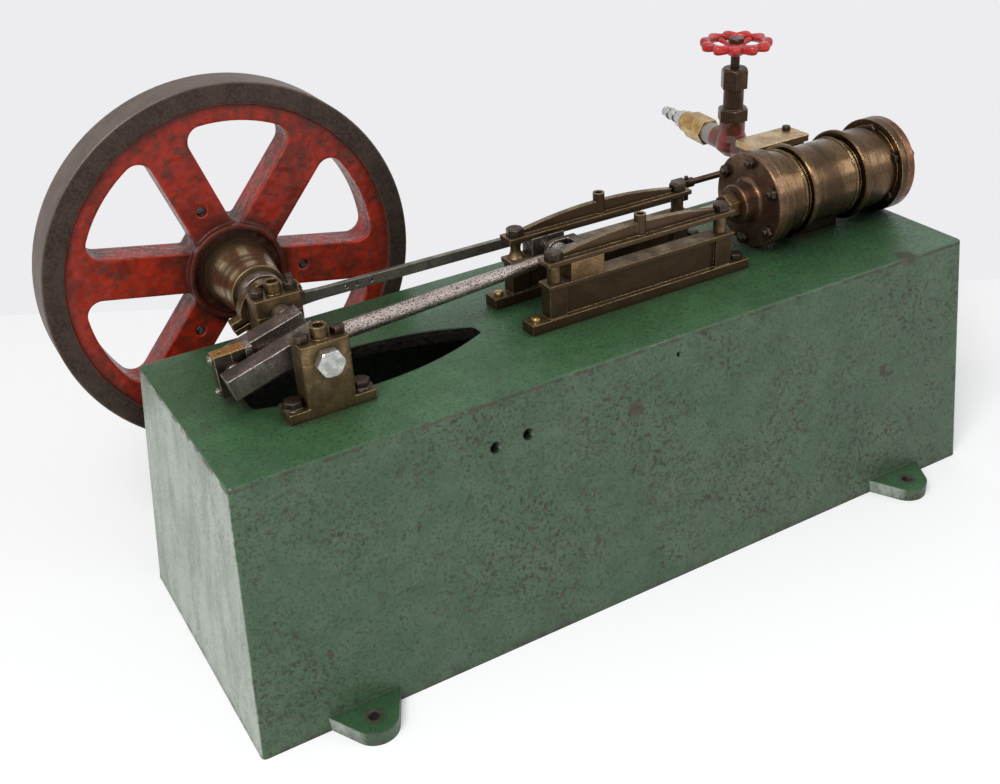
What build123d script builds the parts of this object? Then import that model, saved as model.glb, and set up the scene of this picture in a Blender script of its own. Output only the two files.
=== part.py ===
from build123d import *
import os
from math import acos, asin, atan2, cos, degrees, hypot, radians, sin, sqrt

# A horizontal single-cylinder stationary steam engine of model size, in millimetres.
# The origin is the middle of the four holding-down holes, on the floor.
# X runs along the bed from the crank to the cylinder, Y from the valve gear's far side to the
# flywheel, and Z up. All heights on the engine are counted from the deck, the top of the bed.

# Bed casting
bed_length = 508.0
bed_width = 153.5
bed_height = 158.0
draft_left = 14.0
draft_right = 0.5
draft_front = 21.0
draft_back = 14.0
bed_wall = 7.0
deck_thickness = 9.0
bed_corner_radius = 3.0
deck_edge_radius = 1.5
bed_offset_x = 6.5
bed_offset_y = 3.5
lug_pitch_x = 400.0
lug_pitch_y = 211.0
lug_radius = 13.5
lug_root_width = 46.0
lug_thickness = 9.0
lug_hole_radius = 3.4
pit_left = 38.0
pit_length = 146.0
pit_width = 48.0
pit_left_end_width = 20.0
pit_right_end_width = 9.0
pit_corner_radius = 4.0
side_hole_radius = 3.4
side_hole_places = ((148.0, 28.0), (169.0, 27.0))
small_hole_radius = 1.5
small_hole_places = ((274.0, 11.0), (389.0, 14.0))

# Fits
fit_clearance = 0.05
running_clearance = 0.06
sliding_clearance = 0.15
overrun = 1.0

# Crankshaft and bearings
shaft_from_end = 74.0
shaft_height = 32.0
shaft_radius = 6.35
bearing_depth = 16.0
bearing_foot_length = 50.0
bearing_foot_thickness = 6.0
bearing_block_length = 28.0
bearing_cap_height = 10.5
bearing_edge_radius = 1.8
front_bearing_face = 39.0
rear_bearing_face = 27.0
cup_radius = 4.75
cup_bore_radius = 3.1
cup_height = 7.0
cup_depth = 6.0
crank_throw = 41.3
crank_drop_angle = 16.5
web_thickness = 11.5
web_depth = 12.8
web_gap = 12.0
web_past_pin = 7.8
web_past_shaft = 7.0
crank_pin_radius = 5.0
pin_seat_depth = 7.0
end_bolt_flats = 14.3
end_bolt_head = 6.4
end_bolt_chamfer = 0.8
shaft_gap = 0.3

# Connecting rod and crosshead
rod_length = 211.0
big_end_height = 25.4
big_end_outer = 9.6
big_end_inner = 8.2
big_end_width = 8.5
big_end_side_clearance = 0.15
pin_collar_radius = 6.7
rod_palm = 4.0
rod_thick_radius = 4.5
rod_thin_radius = 3.2
rod_neck = 8.0
small_end_radius = 6.5
small_end_width = 8.0
oil_hole_radius = 0.9
gudgeon_radius = 3.5
cheek_thickness = 5.0
crosshead_height = 15.0
crosshead_back = 14.0
crosshead_throat = 8.0
crosshead_socket_radius = 6.5
crosshead_socket_length = 6.0
slipper_length = 23.0

# Crosshead guides, one frame each side of the centre line
guide_inner = 15.7
guide_width = 12.2
guide_spare_left = 14.2
guide_spare_right = 17.2
guide_base_past_left = 12.2
guide_base_past_right = 13.0
guide_base_thickness = 6.5
guide_bar_thickness = 2.8
lower_bar_height = 28.0
upper_bar_height = 42.6
guide_web_thickness = 5.0
pilaster_length = 12.0
pilaster_width = 9.5
post_radius = 4.1
post_waist_radius = 3.2
post_flare_radius = 5.6
post_inset = 7.0
rib_thickness = 3.6
rib_end_height = 2.6
rib_middle_height = 7.8
rib_inset = 13.0
guide_cup_radius = 3.7
guide_cup_bore_radius = 2.4
guide_cup_height = 13.0
guide_cup_depth = 7.0

# Cylinder
cover_past_stroke = 62.9
cover_thickness = 6.0
flange_thickness = 6.0
cylinder_length = 118.0
flange_radius = 31.4
rear_flange_radius = 31.9
barrel_radius = 26.2
barrel_end_radius = 27.3
bead_places = (24.6, 69.6)
bead_radius = 30.2
bead_width = 4.0
bead_edge = 0.9
bead_step_radius = 28.2
bead_step_width = 2.6
cove_length = 3.6
cove_depth = 1.4
lip_width = 1.2
lip_rise = 0.8
boss_radius = 13.0
boss_length = 12.0
boss_fillet = 3.0
gland_flats = 15.0
gland_length = 9.0
gland_chamfer = 0.8
piston_rod_radius = 4.0
saddle_start = 26.0
saddle_length = 42.0
saddle_width = 16.0
saddle_edge_radius = 2.0
cover_chamfer = 0.8

# Steam chest and valve gear
valve_rod_side = 47.0
valve_rod_height = 33.0
chest_front = 38.8
chest_length = 43.5
chest_width = 19.0
chest_bottom = 14.0
chest_height = 31.0
lid_thickness = 4.5
lid_lap = 2.0
chest_edge_radius = 1.5
neck_inset = 4.0
valve_rod_radius = 2.2
valve_rod_length = 63.0
gland_collar_radius = 5.0
gland_collar_length = 5.0
knuckle_length = 15.0
knuckle_width = 8.0
knuckle_height = 8.0
knuckle_tongue = 6.0
knuckle_fork_length = 9.0
knuckle_collar_radius = 3.3
knuckle_pin_radius = 1.6
knuckle_drop = 6.5
eccentric_throw = 4.0
eccentric_lead_angle = 250.0
sheave_radius = 13.0
strap_radius = 17.0
strap_thickness = 7.0
strap_gap = 1.5
strap_ear_reach = 23.0
strap_ear_width = 7.0
strap_ear_depth = 8.0
strap_ear_angle = 17.5
eccentric_rod_depth = 6.6
eccentric_rod_root_depth = 9.4
eccentric_rod_taper_end = 36.0
eccentric_rod_thickness = 3.0
rod_hole_radius = 1.1
rod_hole_places = (49.6, 56.1, 66.0)

# Flywheel
flywheel_face = 98.3
flywheel_radius = 114.0
flywheel_width = 24.0
rim_depth = 12.5
inner_rim_depth = 10.0
web_recess = 2.0
spoke_count = 6
spoke_width = 25.0
spoke_angle = 49.5
window_inner_radius = 5.0
window_outer_radius = 9.0
window_chamfer = 1.6
spoke_hole_radius = 3.2
spoke_hole_circle = 43.5
hub_radius = 30.0
hub_proud = 2.5
hub_groove_outer = 27.0
hub_groove_depth = 4.0
boss_small_radius = 16.5
boss_large_radius = 21.0
boss_near_face = 61.0
collar_radius = 13.8
collar_near_face = 52.5
shaft_end_past = 3.0

# Stop valve, behind the steam chest
valve_behind_chest = 33.5
valve_port_height = 33.3
valve_body_top = 51.4
valve_body_shoulder = 42.0
valve_body_low = 25.0
valve_body_foot_radius = 5.5
valve_body_radius = 9.2
valve_globe_radius = 11.0
valve_globe_low = 30.0
valve_globe_high = 37.0
valve_port_radius = 8.0
valve_port_reach = 29.0
valve_nipple_radius = 5.6
inlet_turn = 5.7
bonnet_flats = 19.4
bonnet_height = 8.5
neck_radius = 7.2
neck_height = 14.8
packing_nut_flats = 17.2
packing_nut_height = 14.2
packing_nut_chamfer = 2.0
spindle_radius = 3.2
spindle_clearance = 0.08
wheel_radius = 25.4
wheel_rim_depth = 7.5
wheel_rim_lift = 6.5
spindle_foot_gap = 1.5
wheel_rim_width = 7.6
wheel_lobes = 11
wheel_notch_radius = 3.2
wheel_spokes = 5
wheel_spoke_width = 5.0
wheel_spoke_depth = 4.0
wheel_dish = 1.2
wheel_hub_radius = 6.4
wheel_hub_height = 10.9
wheel_above_nut = 6.6
wheel_edge_radius = 1.2
wheel_nut_flats = 10.0
wheel_nut_height = 3.4
bush_flats = 17.7
bush_length = 24.0
bush_collar_radius = 8.0
bush_collar_length = 7.0
tail_nut_radius = 6.8
tail_nut_length = 7.0
tail_radius = 4.7
tail_barb_step = 0.9
tail_barbs = 3
tail_barb_length = 8.0
tail_bore_radius = 2.6

# Places worked out from the sizes above
deck = bed_height
bed_left = bed_offset_x - bed_length / 2
bed_right = bed_left + bed_length
axis_y = bed_offset_y
shaft_x = bed_left + shaft_from_end
shaft_z = deck + shaft_height
web_half_gap = web_gap / 2
rod_side = web_half_gap - big_end_side_clearance - big_end_width / 2
web_outer = web_half_gap + web_thickness
pin_dx = -crank_throw * cos(radians(crank_drop_angle))
pin_dz = -crank_throw * sin(radians(crank_drop_angle))
pin_x = shaft_x + pin_dx
pin_z = shaft_z + pin_dz
crosshead_x = pin_x + sqrt(rod_length**2 - pin_dz**2)
rod_angle = degrees(atan2(-pin_dz, crosshead_x - pin_x))
stroke_left = shaft_x - crank_throw + rod_length
stroke_right = shaft_x + crank_throw + rod_length
bar_left = stroke_left - slipper_length / 2 - guide_spare_left
bar_right = stroke_right + slipper_length / 2 + guide_spare_right
cover_x = stroke_right + cover_past_stroke
cylinder_back = cover_x + cylinder_length
valve_rod_y = axis_y + valve_rod_side
valve_rod_z = deck + valve_rod_height
chest_left = cover_x + chest_front
chest_top = deck + chest_bottom + chest_height
lid_top = chest_top + lid_thickness
chest_back = valve_rod_y + chest_width / 2
valve_x = chest_left + chest_length / 2
valve_y = chest_back + valve_behind_chest


def box(x0, x1, y0, y1, z0, z1):
    """A rectangular block between two opposite corners."""
    return Pos((x0 + x1) / 2, (y0 + y1) / 2, (z0 + z1) / 2) * Box(x1 - x0, y1 - y0, z1 - z0)


def along_x(y, z, radius, x0, x1):
    """A round bar along X."""
    return Pos((x0 + x1) / 2, y, z) * Rot(0, 90, 0) * Cylinder(radius, x1 - x0)


def along_y(x, z, radius, y0, y1):
    """A round bar along Y."""
    return Pos(x, (y0 + y1) / 2, z) * Rot(90, 0, 0) * Cylinder(radius, y1 - y0)


def along_z(x, y, radius, z0, z1):
    """A round bar along Z."""
    return Pos(x, y, (z0 + z1) / 2) * Cylinder(radius, z1 - z0)


def hexagon(flats, length, chamfer_size):
    """A hexagon bar standing on the origin along Z, its top corners turned off."""
    corner = flats / sqrt(3)
    bar = extrude(RegularPolygon(corner, 6), length)
    turned = Cylinder(corner, length, align=(Align.CENTER, Align.CENTER, Align.MIN))
    turned = chamfer(turned.edges().group_by(Axis.Z)[-1], chamfer_size)
    return bar & turned


def turned_about_x(points, x, y, z):
    """A solid turned about a line along X, from (distance along, radius) points."""
    face = make_face(Polyline(*[(along, radius, 0) for along, radius in points], close=True))
    return Pos(x, y, z) * revolve(face, Axis.X)


def turned_about_y(points, x, y, z):
    """A solid turned about a line along Y, from (distance along, radius) points."""
    face = make_face(Polyline(*[(radius, along, 0) for along, radius in points], close=True))
    return Pos(x, y, z) * revolve(face, Axis.Y)


def turned_about_z(points, x, y, z):
    """A solid turned about a vertical line, from (height, radius) points."""
    face = make_face(Polyline(*[(radius, 0, height) for height, radius in points], close=True))
    return Pos(x, y, z) * revolve(face, Axis.Z)


def bed_lug(root):
    """A tongue round its bolt hole, flaring by two tangent lines to the wall at the given Y."""
    half = lug_root_width / 2
    distance = hypot(half, root)
    turn = atan2(root, half) + acos(lug_radius / distance)
    touch = (lug_radius * cos(turn), lug_radius * sin(turn))
    if touch[0] < 0:
        turn = atan2(root, half) - acos(lug_radius / distance)
        touch = (lug_radius * cos(turn), lug_radius * sin(turn))
    outline = [
        Line((half, root), touch),
        ThreePointArc(touch, (0, lug_radius), (-touch[0], touch[1])),
        Line((-touch[0], touch[1]), (-half, root)),
        Line((-half, root), (half, root)),
    ]
    return extrude(make_face(outline), lug_thickness, dir=(0, 0, 1))


def bed():
    """The hollow cast bed, wider at the floor, with its four lugs, crank pit and tapped holes."""
    def tapered(inset, roof):
        floor_length = bed_length + draft_left + draft_right
        floor_width = bed_width + draft_front + draft_back
        floor_x = bed_offset_x + (draft_right - draft_left) / 2
        floor_y = bed_offset_y + (draft_back - draft_front) / 2
        corner = bed_corner_radius
        low = RectangleRounded(floor_length - 2 * inset, floor_width - 2 * inset, corner)
        top = RectangleRounded(bed_length - 2 * inset, bed_width - 2 * inset, corner)
        low = Pos(floor_x, floor_y, 0) * low
        top = Pos(bed_offset_x, bed_offset_y, roof) * top
        return loft([low.face(), top.face()])

    shell = tapered(0, deck)
    shell = fillet(shell.faces().sort_by(Axis.Z)[-1].edges(), deck_edge_radius)
    hollow = tapered(bed_wall, deck) & box(
        -bed_length, bed_length, -bed_length, bed_length, -overrun, deck - deck_thickness
    )
    for side, draft in ((-1, draft_front), (1, draft_back)):
        wall_y = bed_offset_y + side * (bed_width / 2 + draft)
        for end in (-1, 1):
            hole = (end * lug_pitch_x / 2, side * lug_pitch_y / 2)
            lug = bed_lug(side * (wall_y - hole[1]) - bed_wall / 2)
            shell += Pos(*hole, 0) * Rot(0, 0, 0 if side > 0 else 180) * lug
    shell -= hollow
    for side in (-1, 1):
        for end in (-1, 1):
            hole = (end * lug_pitch_x / 2, side * lug_pitch_y / 2)
            shell -= along_z(*hole, lug_hole_radius, -overrun, lug_thickness + overrun)
    shell -= pit_cut()
    front_y = bed_offset_y - bed_width / 2
    kinds = (
        (side_hole_places, side_hole_radius, 2 * bed_wall),
        (small_hole_places, small_hole_radius, bed_wall / 4),
    )
    for places, radius, depth in kinds:
        for along, down in places:
            hole_x = bed_left + along
            shell -= along_y(hole_x, deck - down, radius, front_y - draft_front, front_y + depth)
    return shell.solids().sort_by(SortBy.VOLUME)[-1]


def pit_cut():
    """The opening in the deck that the crank swings in: two bowed sides and blunt ends."""
    x0 = bed_left + pit_left
    x1 = x0 + pit_length
    half = pit_width / 2
    y0 = pit_left_end_width / 2
    y1 = pit_right_end_width / 2
    outline = [
        ThreePointArc((x0, -y0), ((x0 + x1) / 2, -half), (x1, -y1)),
        Line((x1, -y1), (x1, y1)),
        ThreePointArc((x1, y1), ((x0 + x1) / 2, half), (x0, y0)),
        Line((x0, y0), (x0, -y0)),
    ]
    face = make_face(outline)
    face = fillet(face.vertices(), pit_corner_radius)
    cut = extrude(face, deck_thickness + 2 * overrun, dir=(0, 0, 1))
    return Pos(0, axis_y, deck - deck_thickness - overrun) * cut


def bearing(side_face, bore):
    """One main bearing as (block, cap): a footed block split at the shaft, with an oil cup on its cap."""
    y0 = axis_y + side_face
    y1 = y0 + bearing_depth
    half = bearing_block_length / 2
    foot_half = bearing_foot_length / 2
    top = shaft_z + bearing_cap_height
    foot = box(shaft_x - foot_half, shaft_x + foot_half, y0, y1, deck, deck + bearing_foot_thickness)
    body = box(shaft_x - half, shaft_x + half, y0, y1, deck, top)
    body = fillet(body.edges().filter_by(Axis.Z), bearing_edge_radius)
    hole = along_y(shaft_x, shaft_z, bore, y0 - overrun, y1 + overrun)
    below = box(shaft_x - foot_half, shaft_x + foot_half, y0, y1, deck, shaft_z)
    above = box(shaft_x - foot_half, shaft_x + foot_half, y0, y1, shaft_z, top)
    block = foot + (body & below) - hole
    cup_y = (y0 + y1) / 2
    cap = (body & above) + along_z(shaft_x, cup_y, cup_radius, top - fit_clearance, top + cup_height)
    cap -= along_z(shaft_x, cup_y, cup_bore_radius, top + cup_height - cup_depth, top + cup_height + overrun)
    return block, cap - hole


def arm_place(along, y):
    """The place on the crank's arm that lies so far from the shaft towards the pin."""
    return shaft_x + pin_dx / crank_throw * along, y, shaft_z + pin_dz / crank_throw * along


def crank_web(y0, y1, inner_y):
    """A square steel bar from the shaft to the crank pin, with a blind seat for each."""
    length = crank_throw + web_past_pin + web_past_shaft
    middle = (crank_throw + web_past_pin - web_past_shaft) / 2
    bar = Box(length, y1 - y0, web_depth)
    x, y, z = arm_place(middle, (y0 + y1) / 2)
    bar = Pos(x, y, z) * Rot(0, -crank_drop_angle, 0) * bar
    seat_end = inner_y + pin_seat_depth * (1 if y1 > axis_y else -1)
    seat_ends = sorted((inner_y, seat_end))
    return bar - along_y(pin_x, pin_z, crank_pin_radius + fit_clearance, *seat_ends)


def rod_frame():
    """The crank pin as an origin, with X along the connecting rod."""
    return Pos(pin_x, axis_y + rod_side, pin_z) * Rot(0, -rod_angle, 0)


def big_end(outer):
    """Half of the brass block round the crank pin: the outer cap, or the half next to the rod."""
    width = big_end_width / 2
    height = big_end_height / 2
    if outer:
        half = box(-big_end_outer, 0, -width, width, -height, height)
    else:
        half = box(0, big_end_inner, -width, width, -height, height)
    half -= along_y(0, 0, crank_pin_radius + running_clearance, -web_gap, web_gap)
    if outer:
        half -= along_z(-big_end_outer / 2, 0, oil_hole_radius, 0, height + overrun)
    return rod_frame() * half


def connecting_rod():
    """A round tapered rod with a flat palm at the crank and a round eye at the crosshead."""
    start = big_end_inner + rod_palm
    width = big_end_width / 2
    palm = box(big_end_inner, start, -width, width, -big_end_height / 2, big_end_height / 2)
    shank = turned_about_x(
        [
            (start - rod_palm / 2, 0),
            (start - rod_palm / 2, rod_thick_radius),
            (start + rod_neck, rod_thick_radius),
            (rod_length - small_end_radius, rod_thin_radius),
            (rod_length, rod_thin_radius),
            (rod_length, 0),
        ],
        0,
        0,
        0,
    )
    half = small_end_width / 2
    eye = along_y(rod_length, 0, small_end_radius, -half, half)
    rod = palm + shank + eye
    rod -= along_y(rod_length, 0, gudgeon_radius + running_clearance, -small_end_width, small_end_width)
    rod -= along_z(rod_length, 0, oil_hole_radius, 0, small_end_radius + overrun)
    return rod_frame() * rod


def crosshead():
    """A forked block: two cheeks round the rod's eye, and a socket for the piston rod."""
    slot_half = small_end_width / 2 + sliding_clearance
    cheek_out = slot_half + cheek_thickness
    half = crosshead_height / 2
    back = crosshead_x + crosshead_back
    throat = crosshead_x + crosshead_throat
    y0 = axis_y - cheek_out
    y1 = axis_y + cheek_out
    block = box(crosshead_x, back, y0, y1, shaft_z - half, shaft_z + half)
    block += along_y(crosshead_x, shaft_z, half, y0, y1)
    slot_y0 = axis_y + rod_side - slot_half
    slot_y1 = axis_y + rod_side + slot_half
    block -= box(crosshead_x - 2 * half, throat, slot_y0, slot_y1, shaft_z - 2 * half, shaft_z + 2 * half)
    socket_end = back + crosshead_socket_length
    block += along_x(axis_y, shaft_z, crosshead_socket_radius, back - overrun, socket_end)
    pin_bore = gudgeon_radius + fit_clearance
    block -= along_y(crosshead_x, shaft_z, pin_bore, axis_y - 2 * cheek_out, axis_y + 2 * cheek_out)
    rod_bore = piston_rod_radius + fit_clearance
    return block - along_x(axis_y, shaft_z, rod_bore, throat, socket_end + overrun)


def slipper(side):
    """The bearing shoe that slides between the two bars of one guide."""
    low = deck + lower_bar_height + sliding_clearance
    high = deck + upper_bar_height - guide_bar_thickness - sliding_clearance
    inner = guide_inner + sliding_clearance
    outer = guide_inner + guide_width - sliding_clearance
    y0, y1 = sorted((axis_y + side * inner, axis_y + side * outer))
    shoe = box(crosshead_x - slipper_length / 2, crosshead_x + slipper_length / 2, y0, y1, low, high)
    seat = sorted((axis_y, axis_y + side * (guide_inner + guide_width / 2 + fit_clearance)))
    return shoe - along_y(crosshead_x, shaft_z, gudgeon_radius + fit_clearance, *seat)


def guide_frame(side):
    """The lower guide casting: base, two pilasters, a thin web and the lower bar."""
    def slab(x0, x1, inner, width, z0, z1):
        y0, y1 = sorted((axis_y + side * inner, axis_y + side * (inner + width)))
        return box(x0, x1, y0, y1, deck + z0, deck + z1)

    bar_low = lower_bar_height - guide_bar_thickness
    base_left = bar_left - guide_base_past_left
    base_right = bar_right + guide_base_past_right
    frame = slab(base_left, base_right, guide_inner, guide_width, 0, guide_base_thickness)
    frame += slab(bar_left, bar_right, guide_inner, guide_width, bar_low, lower_bar_height)
    middle = guide_inner + guide_width / 2
    inner = middle - guide_web_thickness / 2
    web_top = bar_low + guide_bar_thickness / 2
    post_ends = (bar_left + post_inset, bar_right - post_inset)
    frame += slab(*post_ends, inner, guide_web_thickness, 0, web_top)
    for x in post_ends:
        ends = (x - pilaster_length / 2, x + pilaster_length / 2)
        frame += slab(*ends, middle - pilaster_width / 2, pilaster_width, 0, web_top)
    return frame


def guide_posts(side):
    """The two turned pillars that hold the upper bar off the lower one."""
    low = deck + lower_bar_height
    high = deck + upper_bar_height - guide_bar_thickness
    y = axis_y + side * (guide_inner + guide_width / 2)
    posts = []
    for x in (bar_left + post_inset, bar_right - post_inset):
        if side > 0 and x < crosshead_x:
            height = high - low
            flare = (post_flare_radius, 0)
            waist = (post_waist_radius, height / 2)
            outline = [
                Line((0, 0), flare),
                ThreePointArc(flare, waist, (post_flare_radius, height)),
                Line((post_flare_radius, height), (0, height)),
                Line((0, height), (0, 0)),
            ]
            face = Rot(90, 0, 0) * make_face(outline)
            posts.append(Pos(x, y, low) * revolve(face, Axis.Z))
        else:
            posts.append(along_z(x, y, post_radius, low, high))
    return Compound(children=[post.solid() for post in posts])


def upper_bar(side):
    """The upper guide bar: a flat bar with a fish-bellied rib and an oil cup at its middle."""
    y0, y1 = sorted((axis_y + side * guide_inner, axis_y + side * (guide_inner + guide_width)))
    top = deck + upper_bar_height
    bar = box(bar_left, bar_right, y0, y1, top - guide_bar_thickness, top)
    middle_y = (y0 + y1) / 2
    middle_x = (bar_left + bar_right) / 2
    rib_left = bar_left + rib_inset
    rib_right = bar_right - rib_inset
    root = top - guide_bar_thickness / 2
    left_tip = (rib_left, top + rib_end_height)
    right_tip = (rib_right, top + rib_end_height)
    crest = (middle_x, top + rib_middle_height)
    outline = [
        Line((rib_left, root), (rib_right, root)),
        Line((rib_right, root), right_tip),
        ThreePointArc(right_tip, crest, left_tip),
        Line(left_tip, (rib_left, root)),
    ]
    face = Rot(90, 0, 0) * make_face(outline)
    bar += Pos(0, middle_y + rib_thickness / 2, 0) * extrude(face, rib_thickness, dir=(0, -1, 0))
    cup_top = top + guide_cup_height
    bar += along_z(middle_x, middle_y, guide_cup_radius, root, cup_top)
    cup_floor = cup_top - guide_cup_depth
    return bar - along_z(middle_x, middle_y, guide_cup_bore_radius, cup_floor, cup_top + overrun)


def bead_profile(start, before, after):
    """A lip, a cove, a rounded bead and a step, as (distance, radius) between two barrel sizes."""
    lip = start - cove_length - lip_width
    end = start + bead_width
    cove = before - cove_depth
    return [
        (lip, before),
        (lip, before + lip_rise),
        (lip + lip_width, before + lip_rise),
        (lip + lip_width + bead_edge, cove),
        (start, cove),
        (start, bead_radius - bead_edge),
        (start + bead_edge, bead_radius),
        (end - bead_edge, bead_radius),
        (end, bead_radius - bead_edge),
        (end, bead_step_radius),
        (end + bead_step_width, bead_step_radius),
        (end + bead_step_width, after),
    ]


def barrel_outline():
    """The cylinder's outside as (distance from the barrel's end, radius) points."""
    length = cylinder_length - 2 * cover_thickness
    front, rear = bead_places
    points = [(0, 0), (0, flange_radius), (flange_thickness, flange_radius)]
    points.append((flange_thickness, barrel_end_radius))
    points += bead_profile(front, barrel_end_radius, barrel_radius)
    points += bead_profile(rear, barrel_radius, barrel_end_radius)
    points.append((length - flange_thickness, barrel_end_radius))
    points.append((length - flange_thickness, rear_flange_radius))
    points.append((length, rear_flange_radius))
    points.append((length, 0))
    return points


def barrel_envelope():
    """A plain round of the beads' size, one fit wider, that the steam chest's neck stops at."""
    x0 = cover_x - overrun
    return along_x(axis_y, shaft_z, bead_radius + fit_clearance, x0, cylinder_back + overrun)


def cylinder_barrel():
    """The bronze cylinder: two flanges, two beads and a saddle that stands on the bed."""
    start = cover_x + cover_thickness
    barrel = turned_about_x(barrel_outline(), start, axis_y, shaft_z)
    saddle_x = start + saddle_start
    saddle_y = axis_y - saddle_width / 2
    saddle_top = shaft_z - barrel_radius / 2
    saddle_end = saddle_x + saddle_length
    saddle = box(saddle_x, saddle_end, saddle_y, saddle_y + saddle_width, deck, saddle_top)
    saddle = fillet(saddle.edges().filter_by(Axis.Z), saddle_edge_radius)
    return barrel + saddle


def front_cover():
    """The cover at the crank end with the round stuffing box that the piston rod passes."""
    disc = along_x(axis_y, shaft_z, flange_radius, cover_x, cover_x + cover_thickness)
    disc = chamfer(disc.edges().group_by(Axis.X)[0], cover_chamfer)
    boss = along_x(axis_y, shaft_z, boss_radius, cover_x - boss_length, cover_x + overrun)
    boss = chamfer(boss.edges().group_by(Axis.X)[0], cover_chamfer)
    cover = disc + boss
    rings = cover.edges().filter_by(GeomType.CIRCLE)
    rings = rings.filter_by_position(Axis.X, cover_x - fit_clearance, cover_x + fit_clearance)
    cover = fillet(rings.sort_by(SortBy.RADIUS)[0], boss_fillet)
    bore = piston_rod_radius + running_clearance
    return cover - along_x(axis_y, shaft_z, bore, cover_x - 2 * boss_length, cover_x + 2 * cover_thickness)


def rear_cover():
    """The plain cover at the outer end."""
    disc = along_x(axis_y, shaft_z, rear_flange_radius, cylinder_back - cover_thickness, cylinder_back)
    return chamfer(disc.edges().group_by(Axis.X)[-1], cover_chamfer)


def gland_nut():
    """The hexagon nut that presses the packing into the stuffing box."""
    start = cover_x - boss_length - gland_length
    nut = hexagon(gland_flats, gland_length, gland_chamfer)
    nut = Pos(start + gland_length, axis_y, shaft_z) * Rot(0, -90, 0) * nut
    return nut - along_x(axis_y, shaft_z, piston_rod_radius + running_clearance, start - overrun, cover_x)


def piston_rod():
    """The round rod from the crosshead's socket into the cylinder's cover."""
    start = crosshead_x + crosshead_throat + fit_clearance
    return along_x(axis_y, shaft_z, piston_rod_radius, start, cover_x + cover_thickness - fit_clearance)


def steam_chest():
    """The valve box beside the cylinder, joined to it by a neck, with a collar for the valve rod."""
    y0 = valve_rod_y - chest_width / 2
    y1 = valve_rod_y + chest_width / 2
    chest_right = chest_left + chest_length
    chest_floor = deck + chest_bottom
    chest = box(chest_left, chest_right, y0, y1, chest_floor, chest_top)
    chest = fillet(chest.edges().filter_by(Axis.Z), chest_edge_radius)
    neck = box(
        chest_left + neck_inset,
        chest_right - neck_inset,
        axis_y,
        valve_rod_y,
        chest_floor + neck_inset,
        chest_top - neck_inset,
    )
    neck = (neck - barrel_envelope()).solids().sort_by(SortBy.VOLUME)[-1]
    chest = chest + neck
    collar_start = chest_left - gland_collar_length
    chest += along_x(valve_rod_y, valve_rod_z, gland_collar_radius, collar_start, chest_left + neck_inset)
    bore = valve_rod_radius + running_clearance
    bore_end = chest_left + chest_length / 2
    return chest - along_x(valve_rod_y, valve_rod_z, bore, collar_start - overrun, bore_end)


def chest_lid():
    """The flat lid of the steam chest."""
    y0 = valve_rod_y - chest_width / 2 - lid_lap
    y1 = valve_rod_y + chest_width / 2 + lid_lap
    x1 = chest_left + chest_length + lid_lap
    lid = box(chest_left - lid_lap, x1, y0, y1, chest_top, lid_top)
    return fillet(lid.edges().filter_by(Axis.Z), chest_edge_radius)


def valve_rod():
    """The thin rod that moves the slide valve."""
    start = knuckle_x() + knuckle_tongue + 2 * overrun
    end = chest_left + chest_length / 2 - overrun
    return along_x(valve_rod_y, valve_rod_z, valve_rod_radius, start, end)


def knuckle_x():
    """The place along the bed of the pin that joins the eccentric rod to the valve rod."""
    return chest_left - valve_rod_length


def knuckle_z():
    """The height of the pin that joins the eccentric rod to the valve rod."""
    return valve_rod_z - knuckle_drop


def valve_rod_knuckle():
    """The end block on the valve rod, forked below it for the eccentric rod, with its pin."""
    x0 = knuckle_x() - knuckle_height / 2
    x1 = knuckle_x() + knuckle_length
    half = knuckle_height / 2
    y0 = valve_rod_y - knuckle_width / 2
    y1 = valve_rod_y + knuckle_width / 2
    low = knuckle_z() - half
    fork_end = knuckle_x() + knuckle_fork_length
    block = box(knuckle_x(), fork_end, y0, y1, low, valve_rod_z + knuckle_collar_radius)
    block += along_x(valve_rod_y, valve_rod_z, knuckle_collar_radius, fork_end - overrun, x1)
    block += along_y(knuckle_x(), knuckle_z(), half, y0, y1)
    slot_half = eccentric_rod_thickness / 2 + sliding_clearance
    slot_end = knuckle_x() + knuckle_tongue
    slot_top = valve_rod_z + knuckle_height
    slot = (valve_rod_y - slot_half, valve_rod_y + slot_half)
    block -= box(x0 - overrun, slot_end, *slot, low - overrun, slot_top)
    block += along_y(knuckle_x(), knuckle_z(), knuckle_pin_radius, y0 - overrun, y1 + overrun)
    bore = valve_rod_radius + fit_clearance
    bore_start = slot_end + overrun
    return block - along_x(valve_rod_y, valve_rod_z, bore, bore_start, x1 + overrun)


def eccentric_place():
    """The centre of the eccentric sheave."""
    angle = radians(eccentric_lead_angle)
    return shaft_x + eccentric_throw * cos(angle), shaft_z + eccentric_throw * sin(angle)


def eccentric_sheave():
    """The disc set off-centre on the shaft."""
    x, z = eccentric_place()
    y0 = valve_rod_y - strap_thickness / 2
    y1 = valve_rod_y + strap_thickness / 2
    disc = along_y(x, z, sheave_radius, y0, y1)
    return disc - along_y(shaft_x, shaft_z, shaft_radius + running_clearance, y0 - overrun, y1 + overrun)


def strap_ears(grow):
    """The two ears of the strap as if uncut, grown by a gap, along X from the sheave's centre."""
    ear_in = (sheave_radius + strap_radius) / 2
    ear_half = strap_ear_depth / 2 + grow
    side_half = strap_ear_width / 2 + grow
    right = box(ear_in, strap_ear_reach + grow, -side_half, side_half, -ear_half, ear_half)
    left = box(-strap_ear_reach - grow, -ear_in, -side_half, side_half, -ear_half, ear_half)
    return right + left


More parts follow.
